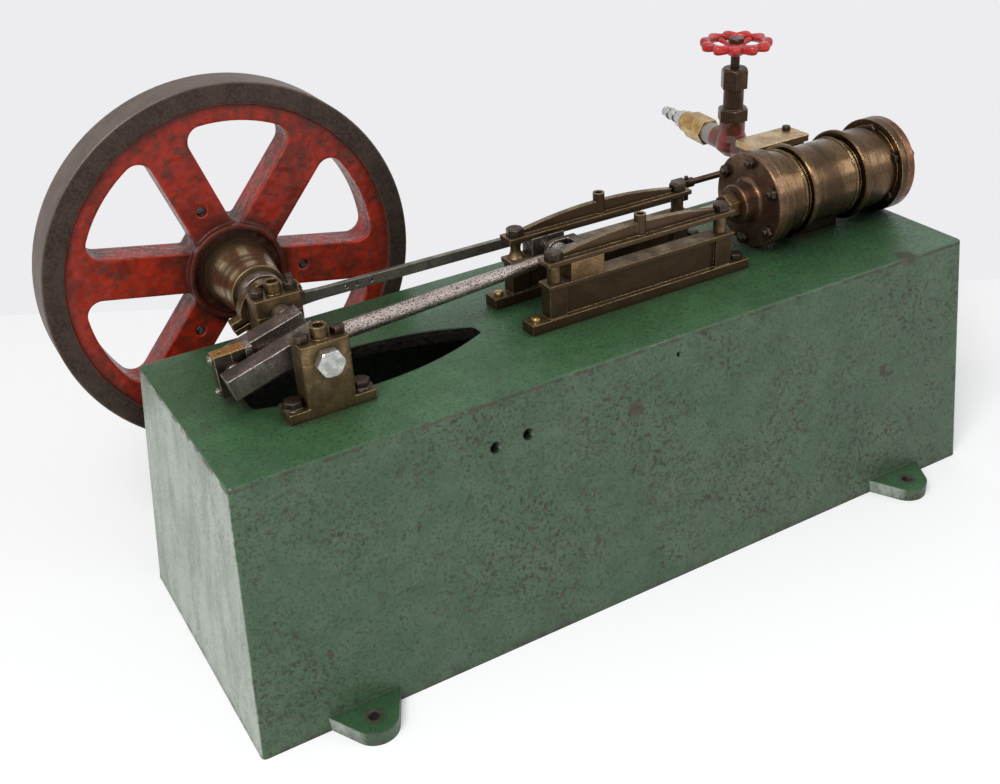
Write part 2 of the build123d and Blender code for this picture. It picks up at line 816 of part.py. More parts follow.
def eccentric_strap():
    """The two halves of the strap round the sheave, with ears for the two bolts."""
    half = strap_thickness / 2
    ring = along_y(0, 0, strap_radius, -half, half)
    ring += strap_ears(0)
    ring -= along_y(0, 0, sheave_radius + fit_clearance, -strap_thickness, strap_thickness)
    reach = strap_ear_reach + overrun
    ring -= box(-reach, reach, -strap_thickness, strap_thickness, -strap_gap / 2, strap_gap / 2)
    x, z = eccentric_place()
    return Pos(x, valve_rod_y, z) * Rot(0, -strap_ear_angle, 0) * ring


def eccentric_rod():
    """The flat bar from the strap to the knuckle: a deep root, a curved taper and three small holes."""
    x, z = eccentric_place()
    run = knuckle_x() - x
    rise = knuckle_z() - z
    length = hypot(run, rise)
    start = strap_radius + fit_clearance
    half = eccentric_rod_thickness / 2
    depth = eccentric_rod_depth / 2
    root = eccentric_rod_root_depth / 2
    taper = eccentric_rod_taper_end
    middle = (start + taper) / 2
    waist = depth + (root - depth) / 4
    outline = [
        ThreePointArc((start, -root), (middle, -waist), (taper, -depth)),
        Line((taper, -depth), (length, -depth)),
        Line((length, -depth), (length, depth)),
        Line((length, depth), (taper, depth)),
        ThreePointArc((taper, depth), (middle, waist), (start, root)),
        Line((start, root), (start, -root)),
    ]
    face = Rot(90, 0, 0) * make_face(outline)
    bar = Pos(0, half, 0) * extrude(face, eccentric_rod_thickness, dir=(0, -1, 0))
    bar -= Rot(0, degrees(atan2(rise, run)) - strap_ear_angle, 0) * strap_ears(fit_clearance)
    bar += along_y(length, 0, depth, -half, half)
    bar -= along_y(length, 0, knuckle_pin_radius + fit_clearance, -knuckle_width, knuckle_width)
    for place in rod_hole_places:
        bar -= along_y(place, 0, rod_hole_radius, -knuckle_width, knuckle_width)
    return Pos(x, valve_rod_y, z) * Rot(0, -degrees(atan2(rise, run)), 0) * bar


def front_journal():
    """The short shaft that turns in the front bearing."""
    y0 = axis_y - front_bearing_face
    return along_y(shaft_x, shaft_z, shaft_radius, y0, axis_y - web_outer)


def shaft_end_bolt():
    """The hexagon bolt head on the front end of the shaft."""
    head = hexagon(end_bolt_flats, end_bolt_head, end_bolt_chamfer)
    return Pos(shaft_x, axis_y - front_bearing_face, shaft_z) * Rot(90, 0, 0) * head


def crank_pin():
    """The pin between the two webs, seated blind in each, with a collar before the brass."""
    reach = web_half_gap + pin_seat_depth - fit_clearance
    pin = along_y(pin_x, pin_z, crank_pin_radius, axis_y - reach, axis_y + reach)
    collar_front = axis_y - web_half_gap + fit_clearance
    collar_back = axis_y + rod_side - big_end_width / 2 - big_end_side_clearance
    return pin + along_y(pin_x, pin_z, pin_collar_radius, collar_front, collar_back)


def crosshead_pin():
    """The pin through the rod's eye and the crosshead into both slippers."""
    reach = guide_inner + guide_width / 2
    return along_y(crosshead_x, shaft_z, gudgeon_radius, axis_y - reach, axis_y + reach)


def main_shaft():
    """The long shaft from the rear web through bearing and eccentric to the flywheel, with its collar."""
    y0 = axis_y + web_outer + shaft_gap
    y1 = axis_y + flywheel_face + flywheel_width + shaft_end_past
    shaft = along_y(shaft_x, shaft_z, shaft_radius, y0, y1)
    shaft = chamfer(shaft.edges().group_by(Axis.Y)[-1], cover_chamfer)
    near = axis_y + collar_near_face
    return shaft + along_y(shaft_x, shaft_z, collar_radius, near, axis_y + boss_near_face)


def flywheel_boss():
    """The bronze boss between the collar and the wheel, a cone with a plain end."""
    near = axis_y + boss_near_face
    hub_face = axis_y + flywheel_face - hub_proud
    seat = hub_face + hub_groove_depth
    boss = turned_about_y(
        [
            (near, 0),
            (near, boss_small_radius),
            (hub_face - hub_proud, boss_large_radius),
            (seat, boss_large_radius),
            (seat, 0),
        ],
        shaft_x,
        0,
        shaft_z,
    )
    return boss - along_y(shaft_x, shaft_z, shaft_radius + fit_clearance, near - overrun, seat + overrun)


def wheel_window():
    """One opening between two spokes, with straight sides, round corners and an arc outside."""
    half_angle = 180 / spoke_count
    reach = flywheel_radius - rim_depth - inner_rim_depth
    apex = (spoke_width / 2 / sin(radians(half_angle)), 0)
    corner_angle = radians(half_angle) - asin(spoke_width / 2 / reach)
    upper = (reach * cos(corner_angle), reach * sin(corner_angle))
    lower = (upper[0], -upper[1])
    face = make_face([Line(apex, upper), ThreePointArc(upper, (reach, 0), lower), Line(lower, apex)])
    corners = face.vertices().sort_by(Axis.X)
    face = fillet(corners[0], window_inner_radius)
    outer = face.vertices().sort_by(Axis.X)[-2:]
    face = fillet(outer, window_outer_radius)
    cut = extrude(face, flywheel_width, dir=(0, 0, 1))
    return Pos(0, flywheel_width + flywheel_face + axis_y, 0) * Rot(90, 0, 0) * cut


def flywheel():
    """The flywheel: a plain rim, a stepped inner rim, six flat spokes and a grooved hub."""
    near = axis_y + flywheel_face
    far = near + flywheel_width
    step = flywheel_radius - rim_depth
    wheel = turned_about_y(
        [
            (near - hub_proud, 0),
            (near - hub_proud, hub_radius),
            (near + web_recess, hub_radius),
            (near + web_recess, step),
            (near, step),
            (near, flywheel_radius),
            (far, flywheel_radius),
            (far, step),
            (far - web_recess, step),
            (far - web_recess, hub_radius),
            (far, hub_radius),
            (far, 0),
        ],
        0,
        0,
        0,
    )
    hub_face = near - hub_proud
    groove = turned_about_y(
        [
            (hub_face - overrun, 0),
            (hub_face - overrun, hub_groove_outer),
            (hub_face + hub_groove_depth, hub_groove_outer),
            (hub_face + hub_groove_depth, 0),
        ],
        0,
        0,
        0,
    )
    wheel -= groove
    window = wheel_window()
    for index in range(spoke_count):
        turn = spoke_angle + 360 / spoke_count * (index + 1 / 2)
        wheel -= Rot(0, -turn, 0) * window
    for index in range(0, spoke_count, 2):
        turn = radians(spoke_angle + 360 / spoke_count * (index + 1))
        hole_x = spoke_hole_circle * cos(turn)
        hole_z = spoke_hole_circle * sin(turn)
        wheel -= along_y(hole_x, hole_z, spoke_hole_radius, near - overrun, far + overrun)
    wheel -= along_y(0, 0, shaft_radius + fit_clearance, near - flywheel_width, far + overrun)
    return Pos(shaft_x, 0, shaft_z) * wheel


def inlet_line():
    """The valve's axis at its ports' height as an origin, with Y along the inlet."""
    return Pos(valve_x, valve_y, deck + valve_port_height) * Rot(0, 0, -inlet_turn)


def stop_valve_body():
    """The globe-shaped valve body with a port each side, and the nipple into the chest's back."""
    low = deck + valve_body_low
    shoulder = deck + valve_body_shoulder
    top = deck + valve_body_top
    body = turned_about_z(
        [
            (low, 0),
            (low, valve_body_foot_radius),
            (deck + valve_globe_low, valve_globe_radius),
            (deck + valve_globe_high, valve_globe_radius),
            (shoulder, valve_body_radius),
            (top, valve_body_radius),
            (top, 0),
        ],
        valve_x,
        valve_y,
        0,
    )
    body = chamfer(body.edges().group_by(Axis.Z)[-1], end_bolt_chamfer)
    port_z = deck + valve_port_height
    body += along_y(valve_x, port_z, valve_port_radius, valve_y - valve_port_reach, valve_y)
    body += along_y(valve_x, port_z, valve_nipple_radius, chest_back + fit_clearance, valve_y)
    return body + inlet_line() * along_y(0, 0, valve_port_radius, 0, valve_port_reach)


def bonnet_top():
    """The height of the bonnet's hexagon top."""
    return deck + valve_body_top + bonnet_height


def valve_bonnet():
    """The hexagon bonnet with its round neck, bored for the spindle."""
    start = deck + valve_body_top
    bonnet = Pos(valve_x, valve_y, start) * hexagon(bonnet_flats, bonnet_height, end_bolt_chamfer)
    top = bonnet_top() + neck_height
    bonnet += along_z(valve_x, valve_y, neck_radius, start, top)
    bore = spindle_radius + spindle_clearance
    return bonnet - along_z(valve_x, valve_y, bore, start + bonnet_height / 2, top + overrun)


def packing_nut():
    """The tall hexagon nut that holds the packing round the spindle."""
    start = bonnet_top() + neck_height
    nut = hexagon(packing_nut_flats, packing_nut_height, packing_nut_chamfer)
    nut = Pos(valve_x, valve_y, start) * nut
    bore = spindle_radius + spindle_clearance
    return nut - along_z(valve_x, valve_y, bore, start - overrun, start + packing_nut_height + overrun)


def wheel_base():
    """The height of the underside of the handwheel's hub."""
    return bonnet_top() + neck_height + packing_nut_height + wheel_above_nut


def valve_spindle():
    """The valve's spindle, which rises through the packing nut as the wheel is turned."""
    low = deck + valve_body_top + bonnet_height / 2 + spindle_foot_gap
    return along_z(valve_x, valve_y, spindle_radius, low, wheel_base() + wheel_hub_height)


def handwheel():
    """The lobed handwheel: notched rim, five spokes rising to it, and a round hub."""
    base = wheel_base()
    rim_low = base + wheel_rim_lift
    rim_high = rim_low + wheel_rim_depth
    rim = turned_about_z(
        [
            (rim_low, wheel_radius - wheel_rim_width),
            (rim_low, wheel_radius),
            (rim_low + wheel_rim_depth, wheel_radius),
            (rim_low + wheel_rim_depth, wheel_radius - wheel_rim_width),
        ],
        0,
        0,
        0,
    )
    for index in range(wheel_lobes):
        turn = radians(360 / wheel_lobes * index)
        reach = wheel_radius + wheel_notch_radius / 2
        notch_x = reach * cos(turn)
        notch_y = reach * sin(turn)
        rim -= along_z(notch_x, notch_y, wheel_notch_radius, rim_low - overrun, rim_high + overrun)
    rim = fillet(rim.edges().group_by(Axis.Z)[-1] + rim.edges().group_by(Axis.Z)[0], wheel_edge_radius)
    hub = along_z(0, 0, wheel_hub_radius, base, base + wheel_hub_height)
    wheel = hub + rim
    inner = (wheel_hub_radius / 2, base + wheel_hub_height - wheel_spoke_depth - wheel_dish)
    outer = (wheel_radius - wheel_rim_width / 2, rim_low + (wheel_rim_depth - wheel_spoke_depth) / 2)
    for index in range(wheel_spokes):
        rise = (0, wheel_spoke_depth)
        corners = [inner, outer, (outer[0] + rise[0], outer[1] + rise[1]), (inner[0], inner[1] + rise[1])]
        outline = Polyline(*corners, close=True)
        face = Rot(90, 0, 0) * make_face(outline)
        spoke = Pos(0, wheel_spoke_width / 2, 0) * extrude(face, wheel_spoke_width, dir=(0, -1, 0))
        wheel += Rot(0, 0, 360 / wheel_spokes * index) * spoke
    bore = spindle_radius + spindle_clearance
    wheel -= along_z(0, 0, bore, base - overrun, rim_low + wheel_rim_depth + overrun)
    return Pos(valve_x, valve_y, 0) * wheel


def handwheel_nut():
    """The nut that holds the wheel on the spindle."""
    top = wheel_base() + wheel_hub_height
    return Pos(valve_x, valve_y, top) * hexagon(wheel_nut_flats, wheel_nut_height, end_bolt_chamfer)


def inlet_bush():
    """The brass bush in the valve's inlet port: a hexagon and a round collar."""
    nut = Rot(-90, 0, 0) * hexagon(bush_flats, bush_length, end_bolt_chamfer)
    bush = Pos(0, valve_port_reach, 0) * nut
    end = valve_port_reach + bush_length + bush_collar_length
    return inlet_line() * (bush + along_y(0, 0, bush_collar_radius, valve_port_reach, end))


def hose_tail():
    """The barbed hose tail, bored through its end."""
    start = valve_port_reach + bush_length + bush_collar_length
    points = [(start, 0), (start, tail_nut_radius), (start + tail_nut_length, tail_nut_radius)]
    place = start + tail_nut_length
    for barb in range(tail_barbs):
        points.append((place, tail_radius))
        points.append((place + tail_barb_length, tail_radius - tail_barb_step))
        place += tail_barb_length
    points.append((place, 0))
    tail = turned_about_y(points, 0, 0, 0)
    return inlet_line() * (tail - along_y(0, 0, tail_bore_radius, start + tail_nut_length, place + overrun))


front_block, front_cap = bearing(-front_bearing_face, shaft_radius + fit_clearance)
rear_block, rear_cap = bearing(rear_bearing_face, shaft_radius + running_clearance)

nodes = {
    "bed": bed(),
    "front_bearing_block": front_block,
    "front_bearing_cap": front_cap,
    "rear_bearing_block": rear_block,
    "rear_bearing_cap": rear_cap,
    "crank_web_front": crank_web(axis_y - web_outer, axis_y - web_half_gap, axis_y - web_half_gap),
    "crank_web_rear": crank_web(axis_y + web_half_gap, axis_y + web_outer, axis_y + web_half_gap),
    "crank_pin": crank_pin(),
    "front_journal": front_journal(),
    "shaft_end_bolt": shaft_end_bolt(),
    "main_shaft": main_shaft(),
    "big_end_brass_inner": big_end(False),
    "big_end_brass_outer": big_end(True),
    "connecting_rod": connecting_rod(),
    "crosshead": crosshead(),
    "crosshead_pin": crosshead_pin(),
    "slipper_front": slipper(-1),
    "slipper_rear": slipper(1),
    "piston_rod": piston_rod(),
    "guide_frame_front": guide_frame(-1),
    "guide_frame_rear": guide_frame(1),
    "guide_posts_front": guide_posts(-1),
    "guide_posts_rear": guide_posts(1),
    "upper_bar_front": upper_bar(-1),
    "upper_bar_rear": upper_bar(1),
    "cylinder_barrel": cylinder_barrel(),
    "front_cylinder_cover": front_cover(),
    "rear_cylinder_cover": rear_cover(),
    "gland_nut": gland_nut(),
    "steam_chest": steam_chest(),
    "chest_lid": chest_lid(),
    "valve_rod": valve_rod(),
    "valve_rod_knuckle": valve_rod_knuckle(),
    "eccentric_sheave": eccentric_sheave(),
    "eccentric_strap": eccentric_strap(),
    "eccentric_rod": eccentric_rod(),
    "flywheel": flywheel(),
    "flywheel_boss": flywheel_boss(),
    "stop_valve_body": stop_valve_body(),
    "valve_bonnet": valve_bonnet(),
    "packing_nut": packing_nut(),
    "valve_spindle": valve_spindle(),
    "handwheel": handwheel(),
    "handwheel_nut": handwheel_nut(),
    "inlet_bush": inlet_bush(),
    "hose_tail": hose_tail(),
}

os.makedirs("parts", exist_ok=True)
for name, shape in nodes.items():
    shape.label = name
    export_step(shape, f"parts/{name}.step")
    print(name, len(shape.solids()), round(shape.volume))
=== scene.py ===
# %% [markdown]
# # A small horizontal steam engine, dressed in Blender
#
# The engine is a heavy green cast bed with a flywheel beside it, and on its deck stand the
# crank, the open guides and a bronze cylinder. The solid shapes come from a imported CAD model,
# the frame, which never moves. This script gives each solid a finish, and adds what is too
# small for the CAD: bolt heads, nuts, studs, threads and the handwheel's knobbly rim.

# %% Load the frame
import bpy
import bmesh
import numpy as np
from mathutils import Matrix, Vector


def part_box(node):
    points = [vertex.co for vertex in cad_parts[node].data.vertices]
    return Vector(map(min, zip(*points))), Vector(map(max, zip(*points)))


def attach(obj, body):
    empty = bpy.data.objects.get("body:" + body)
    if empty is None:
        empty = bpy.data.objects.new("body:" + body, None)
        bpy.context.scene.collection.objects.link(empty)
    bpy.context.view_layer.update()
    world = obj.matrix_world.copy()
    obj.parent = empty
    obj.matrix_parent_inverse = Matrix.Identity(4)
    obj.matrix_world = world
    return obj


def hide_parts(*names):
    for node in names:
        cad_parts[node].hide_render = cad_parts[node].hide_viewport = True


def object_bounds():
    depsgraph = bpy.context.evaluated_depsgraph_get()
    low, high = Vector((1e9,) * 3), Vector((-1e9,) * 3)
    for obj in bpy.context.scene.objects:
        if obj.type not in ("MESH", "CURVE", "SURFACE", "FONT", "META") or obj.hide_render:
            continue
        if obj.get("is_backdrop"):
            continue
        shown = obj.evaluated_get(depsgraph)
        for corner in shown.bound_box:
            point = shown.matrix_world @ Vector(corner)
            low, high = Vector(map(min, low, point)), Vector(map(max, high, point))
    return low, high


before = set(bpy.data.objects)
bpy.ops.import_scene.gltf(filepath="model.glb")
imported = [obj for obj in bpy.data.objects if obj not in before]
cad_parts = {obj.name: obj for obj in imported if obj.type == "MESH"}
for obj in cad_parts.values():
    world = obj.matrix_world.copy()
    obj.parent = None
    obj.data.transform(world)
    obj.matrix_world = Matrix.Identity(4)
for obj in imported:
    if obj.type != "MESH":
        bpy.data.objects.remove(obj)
cad_low, cad_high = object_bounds()
scene = bpy.context.scene
MM = 0.001
deck_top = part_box("bed")[1].z
print("CAD box in mm:", [round(v / MM, 1) for v in (*cad_low, *cad_high)])

# %% [markdown]
# ## The camera
#
# The camera stands to the front left of the engine and looks down on it. It could be set by
# eye, but its place was solved from the bed's straight edges, so it is written as one point,
# three angles and a lens. The order matters: turn to the side, then look down, then roll.

# %% Camera
camera_data = bpy.data.cameras.new("camera")
camera_data.sensor_width = 36.0
camera_data.lens = 44.1
camera_data.shift_x = -0.0032
camera_data.shift_y = -0.0013
camera = bpy.data.objects.new("camera", camera_data)
scene.collection.objects.link(camera)
turn = Matrix.Rotation(np.radians(-28.86), 4, "Z")
down = Matrix.Rotation(np.radians(59.74), 4, "X")
roll = Matrix.Rotation(np.radians(-3.25), 4, "Z")
camera.matrix_world = Matrix.Translation((-0.3659, -0.5722, 0.4939)) @ turn @ down @ roll
scene.camera = camera
print("camera looks along", [round(v, 3) for v in (turn @ down @ roll @ Vector((0, 0, -1)))])

# %% [markdown]
# ## Small tools
#
# Colours are written as a painter's hex values and turned to the linear numbers that a
# renderer adds up. One function adds a shader node: its own settings go in a dictionary, and
# everything else is an input, either a number, a colour or another node's output. The rest
# wrap the nodes that every finish needs.

# %% Colours and nodes
def linear(code):
    """An sRGB hex colour as linear red, green, blue and alpha."""
    share = np.array([int(code[i:i + 2], 16) / 255 for i in (0, 2, 4)])
    bent = np.where(share <= 0.04045, share / 12.92, ((share + 0.055) / 1.055) ** 2.4)
    return (*bent.tolist(), 1.0)


def add(tree, kind, settings=None, **inputs):
    """Adds a node. An input named _3 is the fourth one; in other names _ stands for a space."""
    made = tree.nodes.new(kind)
    for name, value in (settings or {}).items():
        setattr(made, name, value)
    for name, value in inputs.items():
        key = int(name[1:]) if name[0] == "_" else name.replace("_", " ")
        if isinstance(value, bpy.types.NodeSocket):
            tree.links.new(value, made.inputs[key])
        else:
            made.inputs[key].default_value = value
    return made


def new_material(name):
    """An empty node material with a Principled shader, and its object coordinates."""
    material = bpy.data.materials.new(name)
    material.use_nodes = True
    tree = material.node_tree
    tree.nodes.clear()
    shader = add(tree, "ShaderNodeBsdfPrincipled")
    add(tree, "ShaderNodeOutputMaterial", Surface=shader.outputs[0])
    place = add(tree, "ShaderNodeTexCoord").outputs["Object"]
    return material, tree, shader, place


def maths(tree, operation, *values):
    """The result of a maths node, whose values are numbers or other nodes' outputs."""
    return add(tree, "ShaderNodeMath", {"operation": operation},
               **{f"_{order}": value for order, value in enumerate(values)}).outputs[0]


def ramp(tree, value, start, end, low=0.0, high=1.0):
    """A number that goes from low to high while value goes from start to end."""
    return add(tree, "ShaderNodeMapRange", Value=value, From_Min=start, From_Max=end,
               To_Min=low, To_Max=high).outputs[0]


def bumped(tree, height, strength, depth, normal):
    """The normal as a height from 0 to 1 tilts it, where 1 stands for depth mm."""
    return add(tree, "ShaderNodeBump", Strength=strength, Distance=depth * MM, Height=height,
               Normal=normal).outputs[0]


def connect(tree, shader, colour, roughness, normal):
    """Links the three outputs that every finish here has to its shader."""
    for name, output in (("Base Color", colour), ("Roughness", roughness), ("Normal", normal)):
        tree.links.new(output, shader.inputs[name])


print("orange as linear:", [round(v, 3) for v in linear("ff8000")])

# %% [markdown]
# ## What wear looks like, and where shade is painted
#
# Old metal tells its age in three ways. Patches of stain drift over it, every raised edge is
# rubbed, and the corners are darker, with dirt and with painted shade. Each is a mask from 0
# to 1, sized in millimetres: noise for the patches, the angle between the true and a rounded
# normal for the edges, and ambient occlusion for the corners.

# %% Masks for patches, edges and corners
def patches(tree, place, size, low=0.4, high=0.6, detail=6.0, rough=0.6):
    """A mask of noise patches about size mm across, soft between the low and high share."""
    noise = add(tree, "ShaderNodeTexNoise", Vector=place, Scale=1 / (size * MM), Detail=detail,
                Roughness=rough)
    return add(tree, "ShaderNodeMapRange", {"interpolation_type": "SMOOTHSTEP"},
               Value=noise.outputs[0], From_Min=low, From_Max=high).outputs[0]


def edges(tree, radius, low=0.03, high=0.25):
    """The normal of edges rounded to radius mm, and a mask of where it leaves the true one."""
    soft = add(tree, "ShaderNodeBevel", {"samples": 6}, Radius=radius * MM).outputs[0]
    true = add(tree, "ShaderNodeNewGeometry").outputs["Normal"]
    same = add(tree, "ShaderNodeVectorMath", {"operation": "DOT_PRODUCT"}, _0=soft, _1=true)
    return soft, ramp(tree, same.outputs["Value"], 1 - low, 1 - high)


# Where a finish darkens by this mask, it paints shade into hollows and corners.
def corners(tree, reach, low=0.35, high=0.85):
    """A mask of hollows and corners, from how much nearby surface hides within reach mm."""
    shade = add(tree, "ShaderNodeAmbientOcclusion", {"samples": 6}, Distance=reach * MM)
    return ramp(tree, shade.outputs["AO"], high, low)


def mixed(tree, share, under, over):
    """Colour under, covered by colour over where the mask share is 1."""
    return add(tree, "ShaderNodeMix", {"data_type": "RGBA"}, _0=share, _6=under,
               _7=over).outputs[2]


def times(tree, one, other):
    """Two masks multiplied, so the result is where both are."""
    return maths(tree, "MULTIPLY", one, other)


def coated(tree, under, mask, share, over):
    """A colour under which the hex colour over covers where the mask is, but only to share."""
    return mixed(tree, times(tree, mask, share), under, linear(over))


def between(tree, share, low, high):
    """A mask turned into a plain number between low and high."""
    return ramp(tree, share, 0.0, 1.0, low, high)


def facing(tree, way, low=0.5, high=0.9):
    """A mask of the faces that look along a direction, from their normal's share of it."""
    true = add(tree, "ShaderNodeNewGeometry").outputs["Normal"]
    share = add(tree, "ShaderNodeVectorMath", {"operation": "DOT_PRODUCT"}, _0=true, _1=way)
    return ramp(tree, share.outputs["Value"], low, high)


def near(tree, place, centre, reach):
    """A mask round a point in mm that fades out before reach mm, with a ragged rim: noise adds
    up to reach to the distance, so the fade is looked for that much further out."""
    away = add(tree, "ShaderNodeVectorMath", {"operation": "DISTANCE"}, _0=place,
               _1=[v * MM for v in centre]).outputs["Value"]
    rag = add(tree, "ShaderNodeTexNoise", Vector=place, Scale=3 / (reach * MM), Detail=6.0)
    away = maths(tree, "MULTIPLY_ADD", rag.outputs[0], reach * MM, away)
    return ramp(tree, away, 1.4 * reach * MM, 1.1 * reach * MM)


def most(tree, strongest, *masks):
    """The strongest of several masks."""
    for mask in masks:
        strongest = maths(tree, "MAXIMUM", strongest, mask)
    return strongest


print("masks ready: patches, edges, corners, facing, near, most")

# %% [markdown]
# ## Bare metals that have aged
#
# Most of the engine is bare steel, bronze or brass, oiled and handled for years. They differ
# in colour and shine but not in kind, so one recipe makes them all: a base colour drifting to
# a darker stain, fine speckle, a bright rubbed edge, and dirt with painted shade in the
# corners. Where asked, it also paints shade on the flanks and on the underside. A mirror-clean
# metal would need none of this, and would look like a toy. The IOR keeps its default.

# %% One recipe for aged metal
def aged_metal(name, base, stain, edge, dirt_and_shade, roughness=(0.3, 0.5), metallic=0.9, patch=9.0,
               speckle=1.2, pit=0.0, speck="2a211c", rub=0.9, rub_share=0.8, stretch=(1, 1, 1),
               spots=(0.60, 0.68), speck_share=0.55, sides=None, shade_below=None):
    """Base colour with stain patches, specks, rubbed edges, corners darkened with dirt and
    painted shade, and a fine bump. Faces that don't look up take the colour of sides, where one
    is given, as painted shade as well as oil. Below a height given in mm, the dark colour of the
    corners is painted on the underside as shade."""
    material, tree, shader, place = new_material(name)
    place = add(tree, "ShaderNodeMapping", Vector=place, Scale=stretch).outputs[0]
    broad = patches(tree, place, patch, 0.38, 0.64)
    fine = patches(tree, place, speckle, 0.45, 0.62, 4.0)
    dots = patches(tree, place, speckle * 0.8, *spots, 2.0)
    soft, edge_mask = edges(tree, rub)
    broken = times(tree, edge_mask, patches(tree, place, 1.5, 0.3, 0.6))
    colour = coated(tree, linear(base), broad, 0.8, stain)
    colour = coated(tree, colour, fine, 0.35, stain)
    if sides:
        # Up, and a little to the front. Faces that look elsewhere take the colour of sides:
        # painted shade as well as oil.
        up = facing(tree, (0.15, -0.2, 1), 0.6, 0.8)
        colour = mixed(tree, up, linear(sides), colour)
    colour = coated(tree, colour, dots, speck_share, speck)
    # The corners darken with the dirt colour: painted shade as well as dirt.
    colour = coated(tree, colour, corners(tree, 5.0), 0.75, dirt_and_shade)
    colour = coated(tree, colour, broken, rub_share, edge)
    # Painted shade on the underside: the dark colour grows from the given height down over 9 mm.
    if shade_below:
        height = add(tree, "ShaderNodeSeparateXYZ", Vector=place).outputs[2]
        start, end = (level * stretch[2] * MM for level in (shade_below, shade_below - 9.0))
        dark = ramp(tree, height, start, end, 0.0, 0.9)
        colour = mixed(tree, dark, colour, linear(dirt_and_shade))
    relief = maths(tree, "MULTIPLY_ADD", dots, -pit - 0.25, times(tree, fine, 0.25))
    shine = between(tree, most(tree, broad, dots), *roughness)
    connect(tree, shader, colour, shine, bumped(tree, relief, 0.5, 0.12, soft))
    shader.inputs["Metallic"].default_value = metallic
    return material


# Oiled mild steel gone brown: dull, warm, its edges rubbed to grey.
browned_steel = aged_metal("browned_oiled_steel", "5f4a3a", "3a2b22", "a8916f", "1d1511",
                           (0.3, 0.48), 0.75, 11.0, 1.3)
# The crank end's cover, cast iron that hot oil has blackened.
oiled_iron = aged_metal("oil_blackened_cast_iron", "7a5d47", "46342a", "b38d65", "17110d",
                        (0.26, 0.44), 0.8, 13.0, 1.4)
# Forged steel, dark and pitted, its corners polished by the hand and the oily rag.
forged_steel = aged_metal("dark_pitted_forged_steel", "968d83", "4d453e", "e4ddd3", "1e1815",
                          (0.2, 0.46), 0.92, 7.0, 1.1, 0.7, "2b201a", 1.1, spots=(0.54, 0.62))
# Ground and polished steel with small dark rust pits that oil has stopped.
ground_steel = aged_metal("ground_steel_with_pits", "b3aca2", "80776c", "d8d2c8", "43392f",
                          (0.2, 0.42), 0.95, 10.0, 1.0, 0.4, "4a3d33", stretch=(0.35, 1, 1))
# The connecting rod, polished along its length and then pitted all over by a damp winter.
rod_steel = aged_metal("polished_rod_steel_pitted", "cfc5bc", "a0938a", "e4ddd4", "43392f",
                       (0.16, 0.42), 0.95, 14.0, 0.85, 0.5, "4a2f27", stretch=(0.55, 1, 1),
                       spots=(0.505, 0.585), speck_share=0.9)
# The eccentric's rod is thinner stock, never polished.
strip_steel = aged_metal("grey_oiled_strip_steel", "8f8980", "5a544c", "bdb6ab", "1c1815",
                         (0.3, 0.5), 0.85, 8.0, 1.2, 0.4, "2f2a26", spots=(0.56, 0.64))
# Cast bronze left to tone: brown skin, with gold where it is rubbed.
toned_bronze = aged_metal("toned_cast_bronze", "876c4a", "5a4530", "cfab70", "241a12",
                          (0.24, 0.44), 0.85, 12.0, 1.5)
# The barrel is the same bronze, turned in the lathe, so its stains run round it in bands.
# Its underside, below 174 mm, gets painted shade.
barrel_bronze = aged_metal("turned_cylinder_bronze", "6f583f", "3c2d20", "dcbd88", "1c140e",
                           (0.15, 0.4), 0.92, 20.0, 1.6, rub_share=0.6,
                           stretch=(1.5, 0.4, 0.4), shade_below=174.0)
# A redder bronze, with more copper in it, for the far cover.
copper_bronze = aged_metal("reddish_copper_bronze", "875d45", "55382b", "d3a67e", "1f130d",
                           (0.22, 0.42), 0.9, 12.0, 1.5)
# The chest lid is rubbed by every sleeve that reaches for the valve.
lid_bronze = aged_metal("sleeve_rubbed_bronze", "cdb084", "9a7e59", "e6cf9f", "2b2016",
                        (0.24, 0.4), 0.9, 14.0, 1.4)
# The flywheel's boss: bronze turned bright, with fine rings round it.
boss_bronze = aged_metal("turned_boss_bronze", "ab926f", "55452f", "dfc698", "1c140e",
                         (0.2, 0.42), 0.92, 12.0, 1.4, stretch=(0.15, 2.4, 0.15))
# Darker, browner bronze of the bearings and the posts, which oil and dust have filled.
oily_bronze = aged_metal("oily_dark_bronze", "8a7453", "4d3d2a", "c0a070", "1a130d",
                         (0.26, 0.48), 0.85, 11.0, 1.3)
# The guides are the same bronze, with red-brown oil varnish and painted shade on their flanks.
guide_bronze = aged_metal("varnished_guide_bronze", "7f6d52", "52432f", "b79c72", "17100b",
                          (0.26, 0.5), 0.8, 14.0, 1.4, sides="523f2e")
# Machined brass that is still yellow.
yellow_brass = aged_metal("turned_yellow_brass", "c9a76c", "987648", "f0dcaa", "463320",
                          (0.2, 0.36), 0.95, 6.0, 1.0)
# The big-end brasses are yellow only on top; their flanks are dark with crank oil and painted
# shade.
big_end_brass = aged_metal("big_end_brass_oily_flanks", "dcb468", "b08a4e", "efd79c", "3a2c1c",
                           (0.2, 0.42), 0.92, 6.0, 1.0, sides="4d463d")
# Zinc plate: a grey-white, slightly cloudy metal.
zinc_plate = aged_metal("zinc_plated_steel", "d2d3cf", "a9aaa4", "ecece8", "5a5650",
                        (0.22, 0.4), 0.95, 5.0, 1.0, 0.0, "7a766e")
print("bare metals:", len(bpy.data.materials))

# %% [markdown]
# ## The bed's green paint
#
# The bed is rough cast iron, brushed with oil paint in a machine green. Brush paint lies
# thick, so it has a soft gloss and an uneven skin. It could be one green with a bump, but the
# real one is alive with dark specks where the paint has lost tiny chips, and rust at every
# edge. Its left end carries a pale painted reflection, and painted shade lies on the deck and
# in the corners. Those are what make it look heavy and old.

# %% Brushed green paint over cast iron
deck_mm = deck_top / MM
